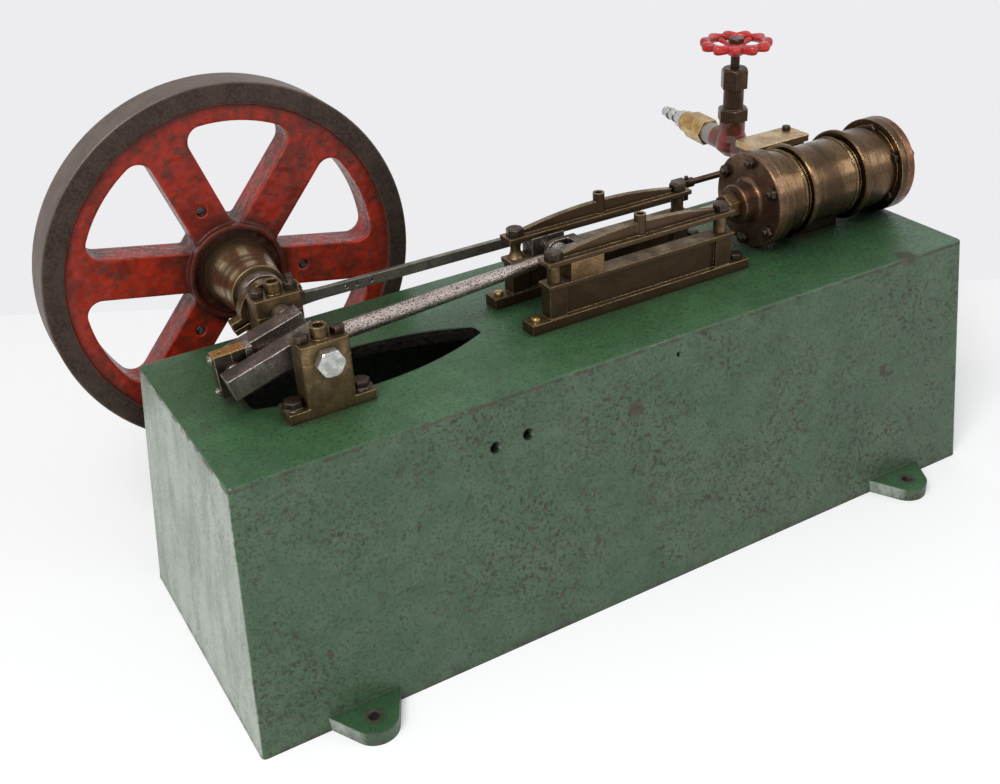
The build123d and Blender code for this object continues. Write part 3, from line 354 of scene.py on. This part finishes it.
# Marks that go down to the iron: a point in mm, and how far the mark reaches round it.
bare_marks = [((124.4, -42.5, deck_mm), 3.5), ((212.0, -70.0, deck_mm), 9.0),
              ((84.0, -8.5, deck_mm), 6.0), ((-6.7, -77.0, 122.0), 7.0),
              ((-200.0, -105.5, 8.0), 8.0), ((200.0, -105.5, 8.0), 8.0)]
# The crank pit's middle and half its size in mm, along X and along Y.
pit_x, pit_y = (-136.5, 75.0), (3.5, 25.5)


def green_paint():
    """Green with lighter and darker drifts, dark chips in clusters, and rust along the edges."""
    material, tree, shader, place = new_material("brushed_green_paint_on_cast_iron")
    x, y, height = add(tree, "ShaderNodeSeparateXYZ", Vector=place).outputs
    up = facing(tree, (0, 0, 1))
    end = facing(tree, (-1, 0, 0), 0.7, 0.9)
    soft, edge_mask = edges(tree, 1.4, 0.02, 0.2)
    grain = patches(tree, place, 2.2, 0.40, 0.66, 5.0)
    pits = patches(tree, place, 1.8, 0.56, 0.60, 3.0)

    # The paint: greens that drift, a paler grain, a pale painted reflection on the left end,
    # and painted shade on the deck and in the corners.
    drift = patches(tree, place, 70.0, 0.35, 0.65)
    cloud = patches(tree, place, 14.0, 0.35, 0.68, 8.0)
    colour = mixed(tree, drift, linear("3d583d"), linear("485f46"))
    colour = coated(tree, colour, grain, 0.35, "5d6b59")
    deck = mixed(tree, drift, linear("315835"), linear("3d6741"))
    colour = mixed(tree, up, colour, deck)
    colour = coated(tree, colour, cloud, 0.5, "2b4a30")
    # The end facing -X is painted pale in upright streaks: a painted reflection of the bright
    # room.
    streaks = add(tree, "ShaderNodeMapping", Vector=place, Scale=(1, 1, 0.28)).outputs[0]
    painted_sheen = between(tree, patches(tree, streaks, 16.0, 0.36, 0.68, 8.0), 0.85, 0.45)
    colour = mixed(tree, times(tree, end, painted_sheen), colour, linear("b4beb1"))
    clear = maths(tree, "MULTIPLY_ADD", end, -0.5, 0.65)
    colour = mixed(tree, times(tree, pits, clear), colour, linear("253325"))
    # Painted shade on the deck, darkest close round the parts that stand on it.
    deck_shade = times(tree, corners(tree, 40.0, 0.25, 0.82), up)
    colour = coated(tree, colour, deck_shade, 0.85, "1b2419")
    # Painted shade in the bed's corners and hollows.
    colour = coated(tree, colour, corners(tree, 8.0, 0.3, 0.8), 0.55, "161d14")

    # Where it is gone: clusters of chips on the walls, worn edges, single marks, a line just
    # under the deck's edge and a damp foot.
    where = patches(tree, place, 60.0, 0.36, 0.60, 6.0)
    chips = times(tree, patches(tree, place, 3.0, 0.545, 0.57, 6.0, 0.72), where)
    large = patches(tree, place, 13.0, 0.62, 0.65, 9.0, 0.72)
    walls = maths(tree, "MULTIPLY_ADD", most(tree, up, end), -0.7, 1.0)
    worn = times(tree, edge_mask, patches(tree, place, 5.0, 0.25, 0.42, 6.0))
    marks = most(tree, *(near(tree, place, point, size) for point, size in bare_marks))
    brow = maths(tree, "COMPARE", height, deck_top - 1.7 * MM, 1.1 * MM)
    brow = times(tree, brow, patches(tree, place, 8.0, 0.42, 0.55, 6.0))
    foot = ramp(tree, height, 9 * MM, 0.0)
    foot = times(tree, foot, patches(tree, place, 7.0, 0.45, 0.62, 6.0))
    bare = most(tree, times(tree, most(tree, chips, large), walls), worn,
                times(tree, marks, 0.9), times(tree, brow, 0.8), times(tree, foot, 0.8))
    rust = mixed(tree, patches(tree, place, 4.0, 0.45, 0.65), linear("2a271e"), linear("4a3829"))
    colour = mixed(tree, times(tree, bare, 0.85), colour, rust)

    # Below the deck, the crank pit's walls are painted near black, for oil and for the shade in
    # the pit.
    within_x = maths(tree, "COMPARE", x, *(v * MM for v in pit_x))
    within_y = maths(tree, "COMPARE", y, *(v * MM for v in pit_y))
    below = maths(tree, "LESS_THAN", height, deck_top - 0.6 * MM)
    inside = times(tree, times(tree, within_x, within_y), below)
    colour = mixed(tree, inside, colour, linear("17140f"))

    # The skin is uneven from the brush, and the chips and pits are cut into it.
    skin = times(tree, patches(tree, place, 6.0, 0.2, 0.8, 5.0), 0.6)
    relief = maths(tree, "MULTIPLY_ADD", bare, -0.35, skin)
    relief = maths(tree, "MULTIPLY_ADD", pits, -0.2, relief)
    dull = most(tree, bare, times(tree, grain, 0.7))
    connect(tree, shader, colour, between(tree, dull, 0.27, 0.62),
            bumped(tree, relief, 0.55, 0.5, soft))
    return material


bed_paint = green_paint()
print("bed finish:", bed_paint.name)

# %% [markdown]
# ## The flywheel: one casting with three finishes
#
# The wheel was cast in iron, its rim turned bright on the lathe and since gone brown, and the
# rest brushed red. It could be cut into objects, but it is one casting, so the finish changes
# with the distance from the axle instead. The mask is that distance, which turns with the
# wheel because it reads the wheel's own coordinates.

# %% Flywheel iron and red paint
wheel_low, wheel_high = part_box("flywheel")
axle = (wheel_low + wheel_high) / 2
# Radii in mm: where the paint ends on the rim's side, and where the tread begins.
paint_end, tread_start = 102.2, 113.2


def wheel_finish():
    """Red paint inside the turned rim, brown turned iron outside; painted shade in the corners,
    and a painted highlight on the paint's edges.
    """
    material, tree, shader, place = new_material("turned_iron_rim_and_red_brush_paint")
    # The distance from the axle, and the same with the wobble of a brushed line.
    here = add(tree, "ShaderNodeVectorMath", {"operation": "SUBTRACT"}, _0=place,
               _1=tuple(axle)).outputs[0]
    flat = add(tree, "ShaderNodeVectorMath", {"operation": "MULTIPLY"}, _0=here,
               _1=(1, 0, 1)).outputs[0]
    radius = add(tree, "ShaderNodeVectorMath", {"operation": "LENGTH"}, _0=flat).outputs["Value"]
    wobble = add(tree, "ShaderNodeTexNoise", Vector=place, Scale=1 / (7 * MM), Detail=5.0)
    brushed = maths(tree, "MULTIPLY_ADD", wobble.outputs[0], 1.6 * MM, radius)
    rim = ramp(tree, brushed, paint_end * MM, (paint_end + 0.5) * MM)
    tread = ramp(tree, radius, tread_start * MM, (tread_start + 0.6) * MM)
    middle = ramp(tree, brushed, 41 * MM, 29 * MM)
    seam = ramp(tree, brushed, 97.5 * MM, 102.5 * MM)
    cloud = patches(tree, place, 14.0, 0.38, 0.62, 7.0)
    grain = patches(tree, place, 1.6, 0.42, 0.62, 4.0)
    chips = times(tree, patches(tree, place, 8.0, 0.50, 0.58, 7.0, 0.7),
                  patches(tree, place, 30.0, 0.38, 0.56))
    soft, edge_mask = edges(tree, 2.4, 0.02, 0.25)
    hollow_shade = corners(tree, 9.0, 0.35, 0.9)

    # The paint is brighter on its edges, where hands rub it clean and a highlight is painted, it
    # has painted shade in its hollows, and it is brown with grime round the hub and the rim.
    paint = mixed(tree, cloud, linear("9c2613"), linear("6f1e11"))
    for mask, share, over in ((grain, 0.25, "5a2116"), (edge_mask, 0.8, "d83c1f"),
                              (hollow_shade, 0.8, "36160f"), (seam, 0.6, "3d1d13"),
                              (middle, 0.85, "2b1811"), (chips, 0.7, "432a1f")):
        paint = coated(tree, paint, mask, share, over)

    # The rim's sides are darker iron than its tread.
    sides = mixed(tree, cloud, linear("463a33"), linear("382d28"))
    sides = coated(tree, sides, grain, 0.5, "574840")
    band = mixed(tree, cloud, linear("65554b"), linear("54463e"))
    band = coated(tree, band, grain, 0.5, "76665a")
    iron = coated(tree, mixed(tree, tread, sides, band), edge_mask, 0.5, "8b8073")

    # Paint lies in soft lumps with shallow chips, and the turned iron is nearly smooth.
    skin = maths(tree, "MULTIPLY_ADD", chips, -0.04, patches(tree, place, 9.0, 0.2, 0.8, 1.0))
    relief = times(tree, skin, maths(tree, "SUBTRACT", 1.0, times(tree, rim, 0.75)))
    rough = between(tree, most(tree, grain, times(tree, rim, 0.8)), 0.24, 0.5)
    connect(tree, shader, mixed(tree, rim, paint, iron), rough,
            bumped(tree, relief, 0.4, 1.3, soft))
    tree.links.new(times(tree, rim, 0.6), shader.inputs["Metallic"])
    shader.inputs["Specular IOR Level"].default_value = 0.35
    return material


wheel_paint = wheel_finish()
print("flywheel radius in mm:", round((wheel_high.x - wheel_low.x) / 2 / MM, 1))

# %% [markdown]
# ## Red enamel on the valve
#
# The handwheel and the valve's body are dipped in red enamel, which is glossier than brush
# paint. Fingers have worn it through to dark iron on the knobs and spokes, so here the edge
# mask uncovers metal instead of brightening the paint.

# %% Red enamel, worn through
def red_enamel(name, fresh, deep, collar=None):
    """Glossy red with deeper drifts, and dark iron at rubbed edges and in spots. Beyond the Y
    of collar, in mm, the paint ends on bare grey metal."""
    material, tree, shader, place = new_material(name)
    soft, edge_mask = edges(tree, 1.0, 0.04, 0.3)
    bare = most(tree, times(tree, edge_mask, patches(tree, place, 2.6, 0.45, 0.6)),
                patches(tree, place, 3.4, 0.56, 0.62, 6.0))
    colour = mixed(tree, patches(tree, place, 9.0, 0.35, 0.65), linear(fresh), linear(deep))
    # Painted shade in the corners.
    colour = coated(tree, colour, corners(tree, 4.0), 0.6, "3d100e")
    colour = mixed(tree, bare, colour, linear("57443c"))
    if collar:
        y = add(tree, "ShaderNodeSeparateXYZ", Vector=place).outputs[1]
        beyond = maths(tree, "GREATER_THAN", y, collar * MM)
        colour = mixed(tree, beyond, colour, linear("8f8a80"))
    skin = patches(tree, place, 3.0, 0.2, 0.8)
    connect(tree, shader, colour, between(tree, bare, 0.24, 0.5),
            bumped(tree, skin, 0.5, 0.2, soft))
    return material


knob_enamel = red_enamel("red_enamel_handwheel", "cf2c2b", "a82224")
body_enamel = red_enamel("red_enamel_valve_body", "8a2420", "463022", collar=112.5)
print("materials so far:", len(bpy.data.materials))

# %% [markdown]
# ## Which solid is made of what
#
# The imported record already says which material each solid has. Here each name is matched with
# the finish that the eye sees, which is finer: a bearing and a cylinder are both bronze, but
# one is black with oil.

# %% Give the solids their finishes
finishes = {
    bed_paint: "bed",
    wheel_paint: "flywheel",
    oily_bronze: "front_bearing_block front_bearing_cap rear_bearing_block rear_bearing_cap "
                 "eccentric_strap guide_posts_front guide_posts_rear",
    guide_bronze: "guide_frame_front guide_frame_rear upper_bar_front upper_bar_rear",
    boss_bronze: "flywheel_boss",
    oiled_iron: "front_cylinder_cover",
    browned_steel: "valve_rod valve_rod_knuckle valve_bonnet packing_nut handwheel_nut "
                   "eccentric_sheave valve_spindle",
    forged_steel: "crank_web_front crank_web_rear crosshead slipper_rear",
    rod_steel: "connecting_rod",
    strip_steel: "eccentric_rod",
    ground_steel: "crank_pin front_journal main_shaft crosshead_pin piston_rod",
    toned_bronze: "gland_nut steam_chest slipper_front",
    barrel_bronze: "cylinder_barrel",
    copper_bronze: "rear_cylinder_cover",
    lid_bronze: "chest_lid",
    yellow_brass: "inlet_bush",
    big_end_brass: "big_end_brass_inner big_end_brass_outer",
    zinc_plate: "shaft_end_bolt hose_tail",
    knob_enamel: "handwheel",
    body_enamel: "stop_valve_body",
}
given = set()
for material, names in finishes.items():
    for name in names.split():
        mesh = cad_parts[name].data
        mesh.materials.clear()
        mesh.materials.append(material)
        given.add(name)
left = sorted(set(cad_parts) - given)
print("finished", len(given), "of", len(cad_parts), "left:", left)

# %% [markdown]
# ## Turned things and hexagons
#
# A bolt head is a turned blank with six flats milled on it. So its surface is a profile spun
# round an axis, whose radius is cut down to the hexagon's where that is smaller. Where the
# cone of the chamfer meets the flats, the curved edge of a real nut appears by itself. Blender
# could do this with booleans, but as one formula it has clean faces.

# %% Surfaces from a profile and an angle
def spun(profile, flats=0.0, sides=72, start=0.0):
    """Points of a profile of (height, radius) rows in mm, spun round Z. With flats, the radius
    at each angle is the lesser of the profile's and of a hexagon that wide across its flats."""
    rows = np.array(profile, float)
    angle = np.linspace(0, 2 * np.pi, sides, endpoint=False)
    radius = np.repeat(rows[:, 1:2], sides, axis=1)
    if flats:
        fold = (angle + np.pi / 6) % (np.pi / 3) - np.pi / 6
        radius = np.minimum(radius, flats / 2 / np.cos(fold)[None, :])
    spin = angle + start
    high = np.repeat(rows[:, 0:1], sides, axis=1)
    return np.stack([radius * np.cos(spin), radius * np.sin(spin), high], axis=-1) * MM


def aimed(points, place, along):
    """The points with their Z axis turned to point along a direction, and moved to place."""
    turned = Vector((0, 0, 1)).rotation_difference(Vector(along)).to_matrix()
    return points @ np.array(turned).T + np.array(place)


def hexagon_head(flats, height, start=0.0):
    """A hexagon head: straight sides, then a 30 degree chamfer down to nine tenths."""
    corner = flats / np.sqrt(3)
    crown = 0.46 * flats
    chamfer = (corner - crown) * np.tan(np.radians(30))
    ramp = np.linspace(0, 1, 7)[1:]
    rows = [(0, 0), (0, corner), (height - chamfer, corner)]
    rows += [(height - chamfer * (1 - s), corner - (corner - crown) * s) for s in ramp]
    rows += [(height, crown * 0.5), (height, 0)]
    return spun(rows, flats, 72, start)


def thread(radius, length, pitch, sides=32):
    """A threaded end: the radius falls and rises once a pitch, and the wave climbs one pitch
    in a full turn, which is a helix."""
    high = np.linspace(0, length, int(length / pitch * 8) + 1)
    angle = np.linspace(0, 2 * np.pi, sides, endpoint=False)
    phase = (high[:, None] / pitch - angle[None, :] / (2 * np.pi)) % 1
    depth = 0.55 * pitch * np.abs(2 * phase - 1)
    ends = np.minimum(1, (length - high) / pitch)[:, None]
    wave = radius - depth * ends - 0.3 * pitch * (1 - ends)
    closed = np.vstack([np.zeros((1, sides)), wave, np.zeros((1, sides))])
    high = np.concatenate([[0], high, [length]])
    return np.stack([closed * np.cos(angle), closed * np.sin(angle),
                     np.repeat(high[:, None], sides, axis=1)], axis=-1) * MM


def piece(name, grids, material, body, smooth=35):
    """One object from grids of points. Each grid is closed round its second direction, and
    where a row shrinks to a point its corners are merged, so the poles are closed."""
    faces, points, first = [], [], 0
    for grid in grids:
        rows, columns = grid.shape[:2]
        index = first + np.arange(rows * columns).reshape(rows, columns)
        right = np.roll(index, -1, axis=1)
        quads = np.stack([index[:-1], right[:-1], right[1:], index[1:]], axis=-1)
        faces.append(quads.reshape(-1, 4))
        points.append(grid.reshape(-1, 3))
        first += rows * columns
    mesh = bpy.data.meshes.new(name)
    mesh.from_pydata(np.concatenate(points), [], np.concatenate(faces).tolist())
    work = bmesh.new()
    work.from_mesh(mesh)
    bmesh.ops.remove_doubles(work, verts=work.verts, dist=1e-7)
    work.to_mesh(mesh)
    work.free()
    mesh.shade_smooth()
    mesh.set_sharp_from_angle(angle=np.radians(smooth))
    mesh.materials.append(material)
    made = bpy.data.objects.new(name, mesh)
    scene.collection.objects.link(made)
    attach(made, body)
    print(name, "has", len(mesh.polygons), "faces")
    return made


UP = (0, 0, 1)
print("a small hexagon head has", hexagon_head(9.4, 4.6).shape[0], "rings of points")

# %% [markdown]
# ## Bolts that hold the bearings
#
# Each bearing has two foot bolts and two cap bolts with small hexagon heads. Nobody tightens
# every bolt to the same angle, so each head is turned by a different amount. They are worked
# out from the bearing's own box, so they sit on the metal that they hold.

# %% Bearing bolts
def centre_of(node):
    """The middle of a solid's box."""
    low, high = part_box(node)
    return (low + high) / 2


def standing(place, flats, height, turn_share, sink=0.15):
    """A hexagon head standing on a face, sunk into it by a hair so that no gap shows."""
    place = Vector(place) - Vector((0, 0, sink * MM))
    return aimed(hexagon_head(flats, height + sink, np.pi / 3 * turn_share), place, UP)


foot_thick, cup_tall = 6.0, 7.0               # mm: the bearing's foot, and the cup on its cap
foot_out, cap_out = 19.6, 10.3                # mm from the bearing's middle to its bolts
foot_head, cap_head = (9.4, 4.6), (7.4, 4.0)  # mm across the flats, and mm tall
washer = [(0, 0), (0, 6.4), (0.5, 6.4), (0.5, 0)]
heads = []
for end, bearing in enumerate(("front_bearing", "rear_bearing")):
    middle = centre_of(bearing + "_block")
    foot_top = deck_top + foot_thick * MM
    cap_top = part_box(bearing + "_cap")[1].z - cup_tall * MM
    for side in (-1, 1):
        foot = (middle.x + side * foot_out * MM, middle.y, foot_top)
        cap = (middle.x + side * cap_out * MM, middle.y, cap_top)
        heads.append(standing(foot, *foot_head, 0.31 * (end * 2 + side)))
        heads.append(aimed(spun(washer), foot, UP))
        heads.append(standing(cap, *cap_head, 0.47 * (end * 3 + side)))
        if end and side > 0:
            stud = Vector(cap) + Vector((0, 0, cap_head[1] * MM))
            heads.append(aimed(thread(2.2, 4.5, 0.8), stud, UP))
bolt_steel = aged_metal("bolt_steel_dark_oil", "54473d", "30271f", "8f8474", "1a1411",
                        (0.3, 0.5), 0.85, 4.0, 0.9)
piece("bearing_bolts", heads, bolt_steel, "engine")

# %% [markdown]
# ## Bolts of the guides
#
# A hexagon bolt passes through each end of each upper bar, down the pillar and into the frame.
# Each base is held to the deck by a hexagon bolt at the cylinder's end, and by a round brass
# screw at the crank's.

# %% Guide bolts
bar_top = deck_top + 42.6 * MM                # the ends of the upper bars
base_top = deck_top + 6.5 * MM                # the flanges of the guides' bases
bar_head, base_head = (9.6, 4.8), (8.0, 3.8)  # mm across the flats, and mm tall
bar_in, base_in, screw_in = 7.0, 6.6, 5.8     # mm in from the ends
round_head = [(-0.2, 0), (-0.2, 2.9), (1.3, 2.9), (1.9, 2.5), (2.2, 1.6), (2.3, 0)]
heads, screws = [], []
for order, side in enumerate(("front", "rear")):
    bar_low, bar_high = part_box("upper_bar_" + side)
    base_low, base_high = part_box("guide_frame_" + side)
    y = (bar_low.y + bar_high.y) / 2
    for index, x in enumerate((bar_low.x + bar_in * MM, bar_high.x - bar_in * MM)):
        heads.append(standing((x, y, bar_top), *bar_head, 0.37 * (index + 2 * order)))
    bolt = (base_high.x - base_in * MM, y, base_top)
    heads.append(standing(bolt, *base_head, 0.53 * order))
    screws.append(aimed(spun(round_head), (base_low.x + screw_in * MM, y, base_top), UP))
piece("guide_bolts", heads, bolt_steel, "engine")
piece("guide_base_screws", screws, yellow_brass, "engine")

# %% [markdown]
# ## Belly of the connecting rod, and the small ends
#
# A rod that is pushed and pulled is thickest in the middle, where it would bend first. So a
# thin skin swells over the solid rod by a millimetre. The big end's two bolts show their ends
# past the brass, and the valve rod has a collar with two little knobs.

# %% Rod belly, big-end bolts, clamp knobs and lid bolt
pin, cross = centre_of("crank_pin"), centre_of("crosshead_pin")
reach = Vector((cross.x - pin.x, 0, cross.z - pin.z))
along = reach.normalized()
belly_start, belly_end = 16.0, reach.length / MM - 6.4   # mm from the crank pin
share = np.linspace(0, 1, 60)
bulge = 4.55 - 1.25 * share + 0.95 * np.sin(np.pi * share)
distance = belly_start + (belly_end - belly_start) * share
rows = [(belly_start, 0), *zip(distance, bulge), (belly_end, 0)]
start = Vector((pin.x, centre_of("connecting_rod").y, pin.z))
piece("connecting_rod_belly", [aimed(spun(rows, sides=48), start, along)], rod_steel, "engine")

bolt_out, bolt_back = 9.8 * MM, 9.4 * MM      # from the crank pin, across and along the rod
square = Vector((-along.z, 0, along.x))
ends = []
for side in (-1, 1):
    place = start + square * side * bolt_out - along * bolt_back
    ends.append(aimed(hexagon_head(4.6, 1.4, 0.4 * side), place, -along))
    ends.append(aimed(thread(1.4, 2.4, 0.6), place, -along))
piece("big_end_bolts", ends, ground_steel, "engine")

collar_x, rod_radius = 127.5 * MM, 2.9 * MM
rod = centre_of("valve_rod")
knob = [(0, 0), (0, 1.2), (1.6, 1.5), (2.2, 1.1), (2.4, 0)]
knobs = [aimed(spun(knob), (collar_x, rod.y, rod.z + side * rod_radius), (0, 0, side))
         for side in (-1, 1)]
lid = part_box("chest_lid")[1]
knobs.append(standing((lid.x - 5.5 * MM, lid.y - 5.0 * MM, lid.z), 5.6, 2.6, 0.3))
piece("valve_gear_knobs", knobs, bolt_steel, "engine")

# %% [markdown]
# ## Studs and nuts of the cylinder covers
#
# Six studs clamp each cover. At the crank end their nuts stand on the cover, with a little
# thread showing. At the far end the heads are outside and the nuts behind the flange.

# %% Cover nuts
flange, sink = 6.0 * MM, 0.1 * MM             # a flange's thickness, how deep a head is sunk
bolt_circle, first_bolt = 26.2 * MM, 33       # radius, and degrees
flats = 7.2                                   # mm
crank_side, cylinder_side = (-1, 0, 0), (1, 0, 0)
axis = centre_of("rear_cylinder_cover")
rear_low, rear_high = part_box("rear_cylinder_cover")
front_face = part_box("front_cylinder_cover")[1].x - flange + sink
behind_flange = rear_low.x - flange + sink
rear_face = rear_high.x - sink
print("cylinder axis height in mm:", round(axis.z / MM, 1))
front_nuts, rear_nuts = [], []
for number in range(6):
    angle = np.radians(60 * number + first_bolt)
    y, z = axis.y + bolt_circle * np.cos(angle), axis.z + bolt_circle * np.sin(angle)
    spin = np.pi / 3 * 0.29 * number
    front = (front_face, y, z)
    front_nuts.append(aimed(hexagon_head(flats, 3.6, spin), front, crank_side))
    front_nuts.append(aimed(thread(2.0, 5.4, 0.8), front, crank_side))
    head, nut = hexagon_head(flats, 2.4, spin), hexagon_head(flats, 3.2, spin)
    rear_nuts.append(aimed(head, (rear_face, y, z), cylinder_side))
    rear_nuts.append(aimed(nut, (behind_flange, y, z), crank_side))
piece("front_cover_nuts", front_nuts, bolt_steel, "engine")
piece("rear_cover_bolts", rear_nuts, bolt_steel, "engine")

# %% [markdown]
# ## The handwheel's knobbly rim
#
# The wheel is cast with eleven rounded knobs for a wet hand to grip. The CAD has a ring with
# scallops cut out, which is right in size but too crisp. Its rim here is a closed loop whose
# round cross-section swells and shrinks eleven times, so the knobs melt into one another as
# they do in a casting.

# %% Handwheel
hub = centre_of("handwheel_nut")
rim_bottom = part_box("handwheel")[1].z - 7.5 * MM


def squarer(wave):
    """A sine or cosine bent outwards, so that an ellipse made of it is fuller in its corners."""
    return np.sign(wave) * np.abs(wave) ** 0.8


def handwheel_rim(lobes=11, around=330, across=28):
    """A loop: at each angle an ellipse, whose outer half reaches further where the wave of the
    lobes is high, and whose height grows a little there too. In mm."""
    angle = np.linspace(0, 2 * np.pi, around, endpoint=False)[:, None]
    turn = np.linspace(0, 2 * np.pi, across, endpoint=False)[None, :]
    wave = (0.5 + 0.5 * np.cos(lobes * angle)) ** 0.75
    inner, outer = 17.4, 20.4 + 5.0 * wave
    middle, half = (inner + outer) / 2, (outer - inner) / 2
    tall = 2.7 + 1.05 * wave * (0.5 + 0.5 * np.cos(turn))
    radius = middle + half * squarer(np.cos(turn))
    high = tall * squarer(np.sin(turn)) + 3.75
    return np.stack([radius * np.cos(angle), radius * np.sin(angle), high], axis=-1)


def handwheel_spoke(turn, along=16, across=16):
    """A spoke: an ellipse carried from the hub out and up to the rim, waisted in the middle."""
    share = np.linspace(0, 1, along)[:, None]
    angle = np.linspace(0, 2 * np.pi, across, endpoint=False)[None, :]
    reach = 4.0 + 15.5 * share
    lift = 0.4 + 2.6 * share ** 1.6
    wide = 3.1 - 1.2 * np.sin(np.pi * share) ** 2
    tall = 1.9 - 0.4 * np.sin(np.pi * share) ** 2
    side = wide * np.cos(angle)
    high = lift + 0.6 + tall * np.sin(angle)
    x = reach * np.cos(turn) - side * np.sin(turn)
    y = reach * np.sin(turn) + side * np.cos(turn)
    return np.stack([x, y, high], axis=-1)


middle = np.array([hub.x, hub.y, rim_bottom])
rim = handwheel_rim()
rim = np.concatenate([rim, rim[:1]]) * MM + middle
hub_rows = [(-4.0, 0), (-4.0, 5.2), (-3.2, 6.0), (2.2, 6.2), (3.9, 5.6), (4.4, 4.6), (4.4, 0)]
wheel_parts = [rim, spun(hub_rows) + middle]
wheel_parts += [handwheel_spoke(2 * np.pi * k / 5 + 0.3) * MM + middle for k in range(5)]
casting = piece("handwheel_casting", wheel_parts, knob_enamel, "handwheel",
                smooth=60)
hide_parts("handwheel")

# %% [markdown]
# ## Floor, backdrop and light
#
# The engine stands on white paper in even light. The world gives most of the light, so
# shadows stay soft, and two large lamps shape the metal. The camera and the reflections see
# a whiter world than the one that lights the engine, so the paper and the sky stay white
# while the paint keeps its depth.

# %% Studio
floor_mesh = bpy.data.meshes.new("floor")
back_middle, reach = Vector((0.125, 0.319, 0.0)), 7.0    # the far edge's middle, metres
turned = Matrix.Rotation(np.radians(-31.5), 4, "Z")
aside, forward = turned @ Vector((1, 0, 0)) * reach, turned @ Vector((0, -1, 0)) * reach
edge = [back_middle - aside, back_middle - aside + forward, back_middle + aside + forward,
        back_middle + aside]
floor_mesh.from_pydata([tuple(p) for p in edge], [], [(0, 1, 2, 3)])
floor = bpy.data.objects.new("floor", floor_mesh)
scene.collection.objects.link(floor)
paper, tree, shader, place = new_material("white_paper_floor")
lit = add(tree, "ShaderNodeLightPath").outputs["Is Camera Ray"]
shader.inputs["Base Color"].default_value = linear("f2f2f3")
shader.inputs["Roughness"].default_value = 0.9
shader.inputs["Emission Color"].default_value = (1, 1, 1, 1)
tree.links.new(times(tree, lit, 0.17), shader.inputs["Emission Strength"])
floor_mesh.materials.append(paper)
floor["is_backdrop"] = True

world = bpy.data.worlds.new("studio")
scene.world = world
world.use_nodes = True
tree = world.node_tree
tree.nodes.clear()
path = add(tree, "ShaderNodeLightPath").outputs
seen = most(tree, *(path[f"Is {kind} Ray"] for kind in ("Camera", "Glossy", "Transmission")))
dim = add(tree, "ShaderNodeBackground", Color=(0.88, 0.885, 0.89, 1), Strength=0.54)
shown = add(tree, "ShaderNodeBackground", Color=linear("ededef"), Strength=1.0)
both = add(tree, "ShaderNodeMixShader", _0=seen, _1=dim.outputs[0], _2=shown.outputs[0])
add(tree, "ShaderNodeOutputWorld", Surface=both.outputs[0])


def lamp(name, place, aim, size, power):
    """A square area lamp at place, facing aim."""
    data = bpy.data.lights.new(name, "AREA")
    data.size, data.energy = size, power
    made = bpy.data.objects.new(name, data)
    made.location = place
    made.rotation_mode = "QUATERNION"
    made.rotation_quaternion = (Vector(aim) - Vector(place)).to_track_quat("-Z", "Y")
    scene.collection.objects.link(made)


lamp("key_softbox", (-0.9, -0.7, 1.5), (0, 0, 0.15), 0.8, 19.0)
lamp("fill_softbox", (1.3, -1.1, 1.1), (0, 0, 0.15), 0.9, 6.0)
scene.view_settings.view_transform = "Standard"
print("lamps:", len(bpy.data.lights), "floor side in metres:", 2 * reach)

# %% [markdown]
# ## Check the sizes and finish
#
# The dressed engine has to stay inside the CAD's box, so how far the scene's box has grown
# past it is printed in millimetres.

# %% Sizes
low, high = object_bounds()
grown = [round((a - b) / MM, 2) for a, b in zip((*cad_low, *high), (*low, *cad_high))]
print("grown by mm:", grown)
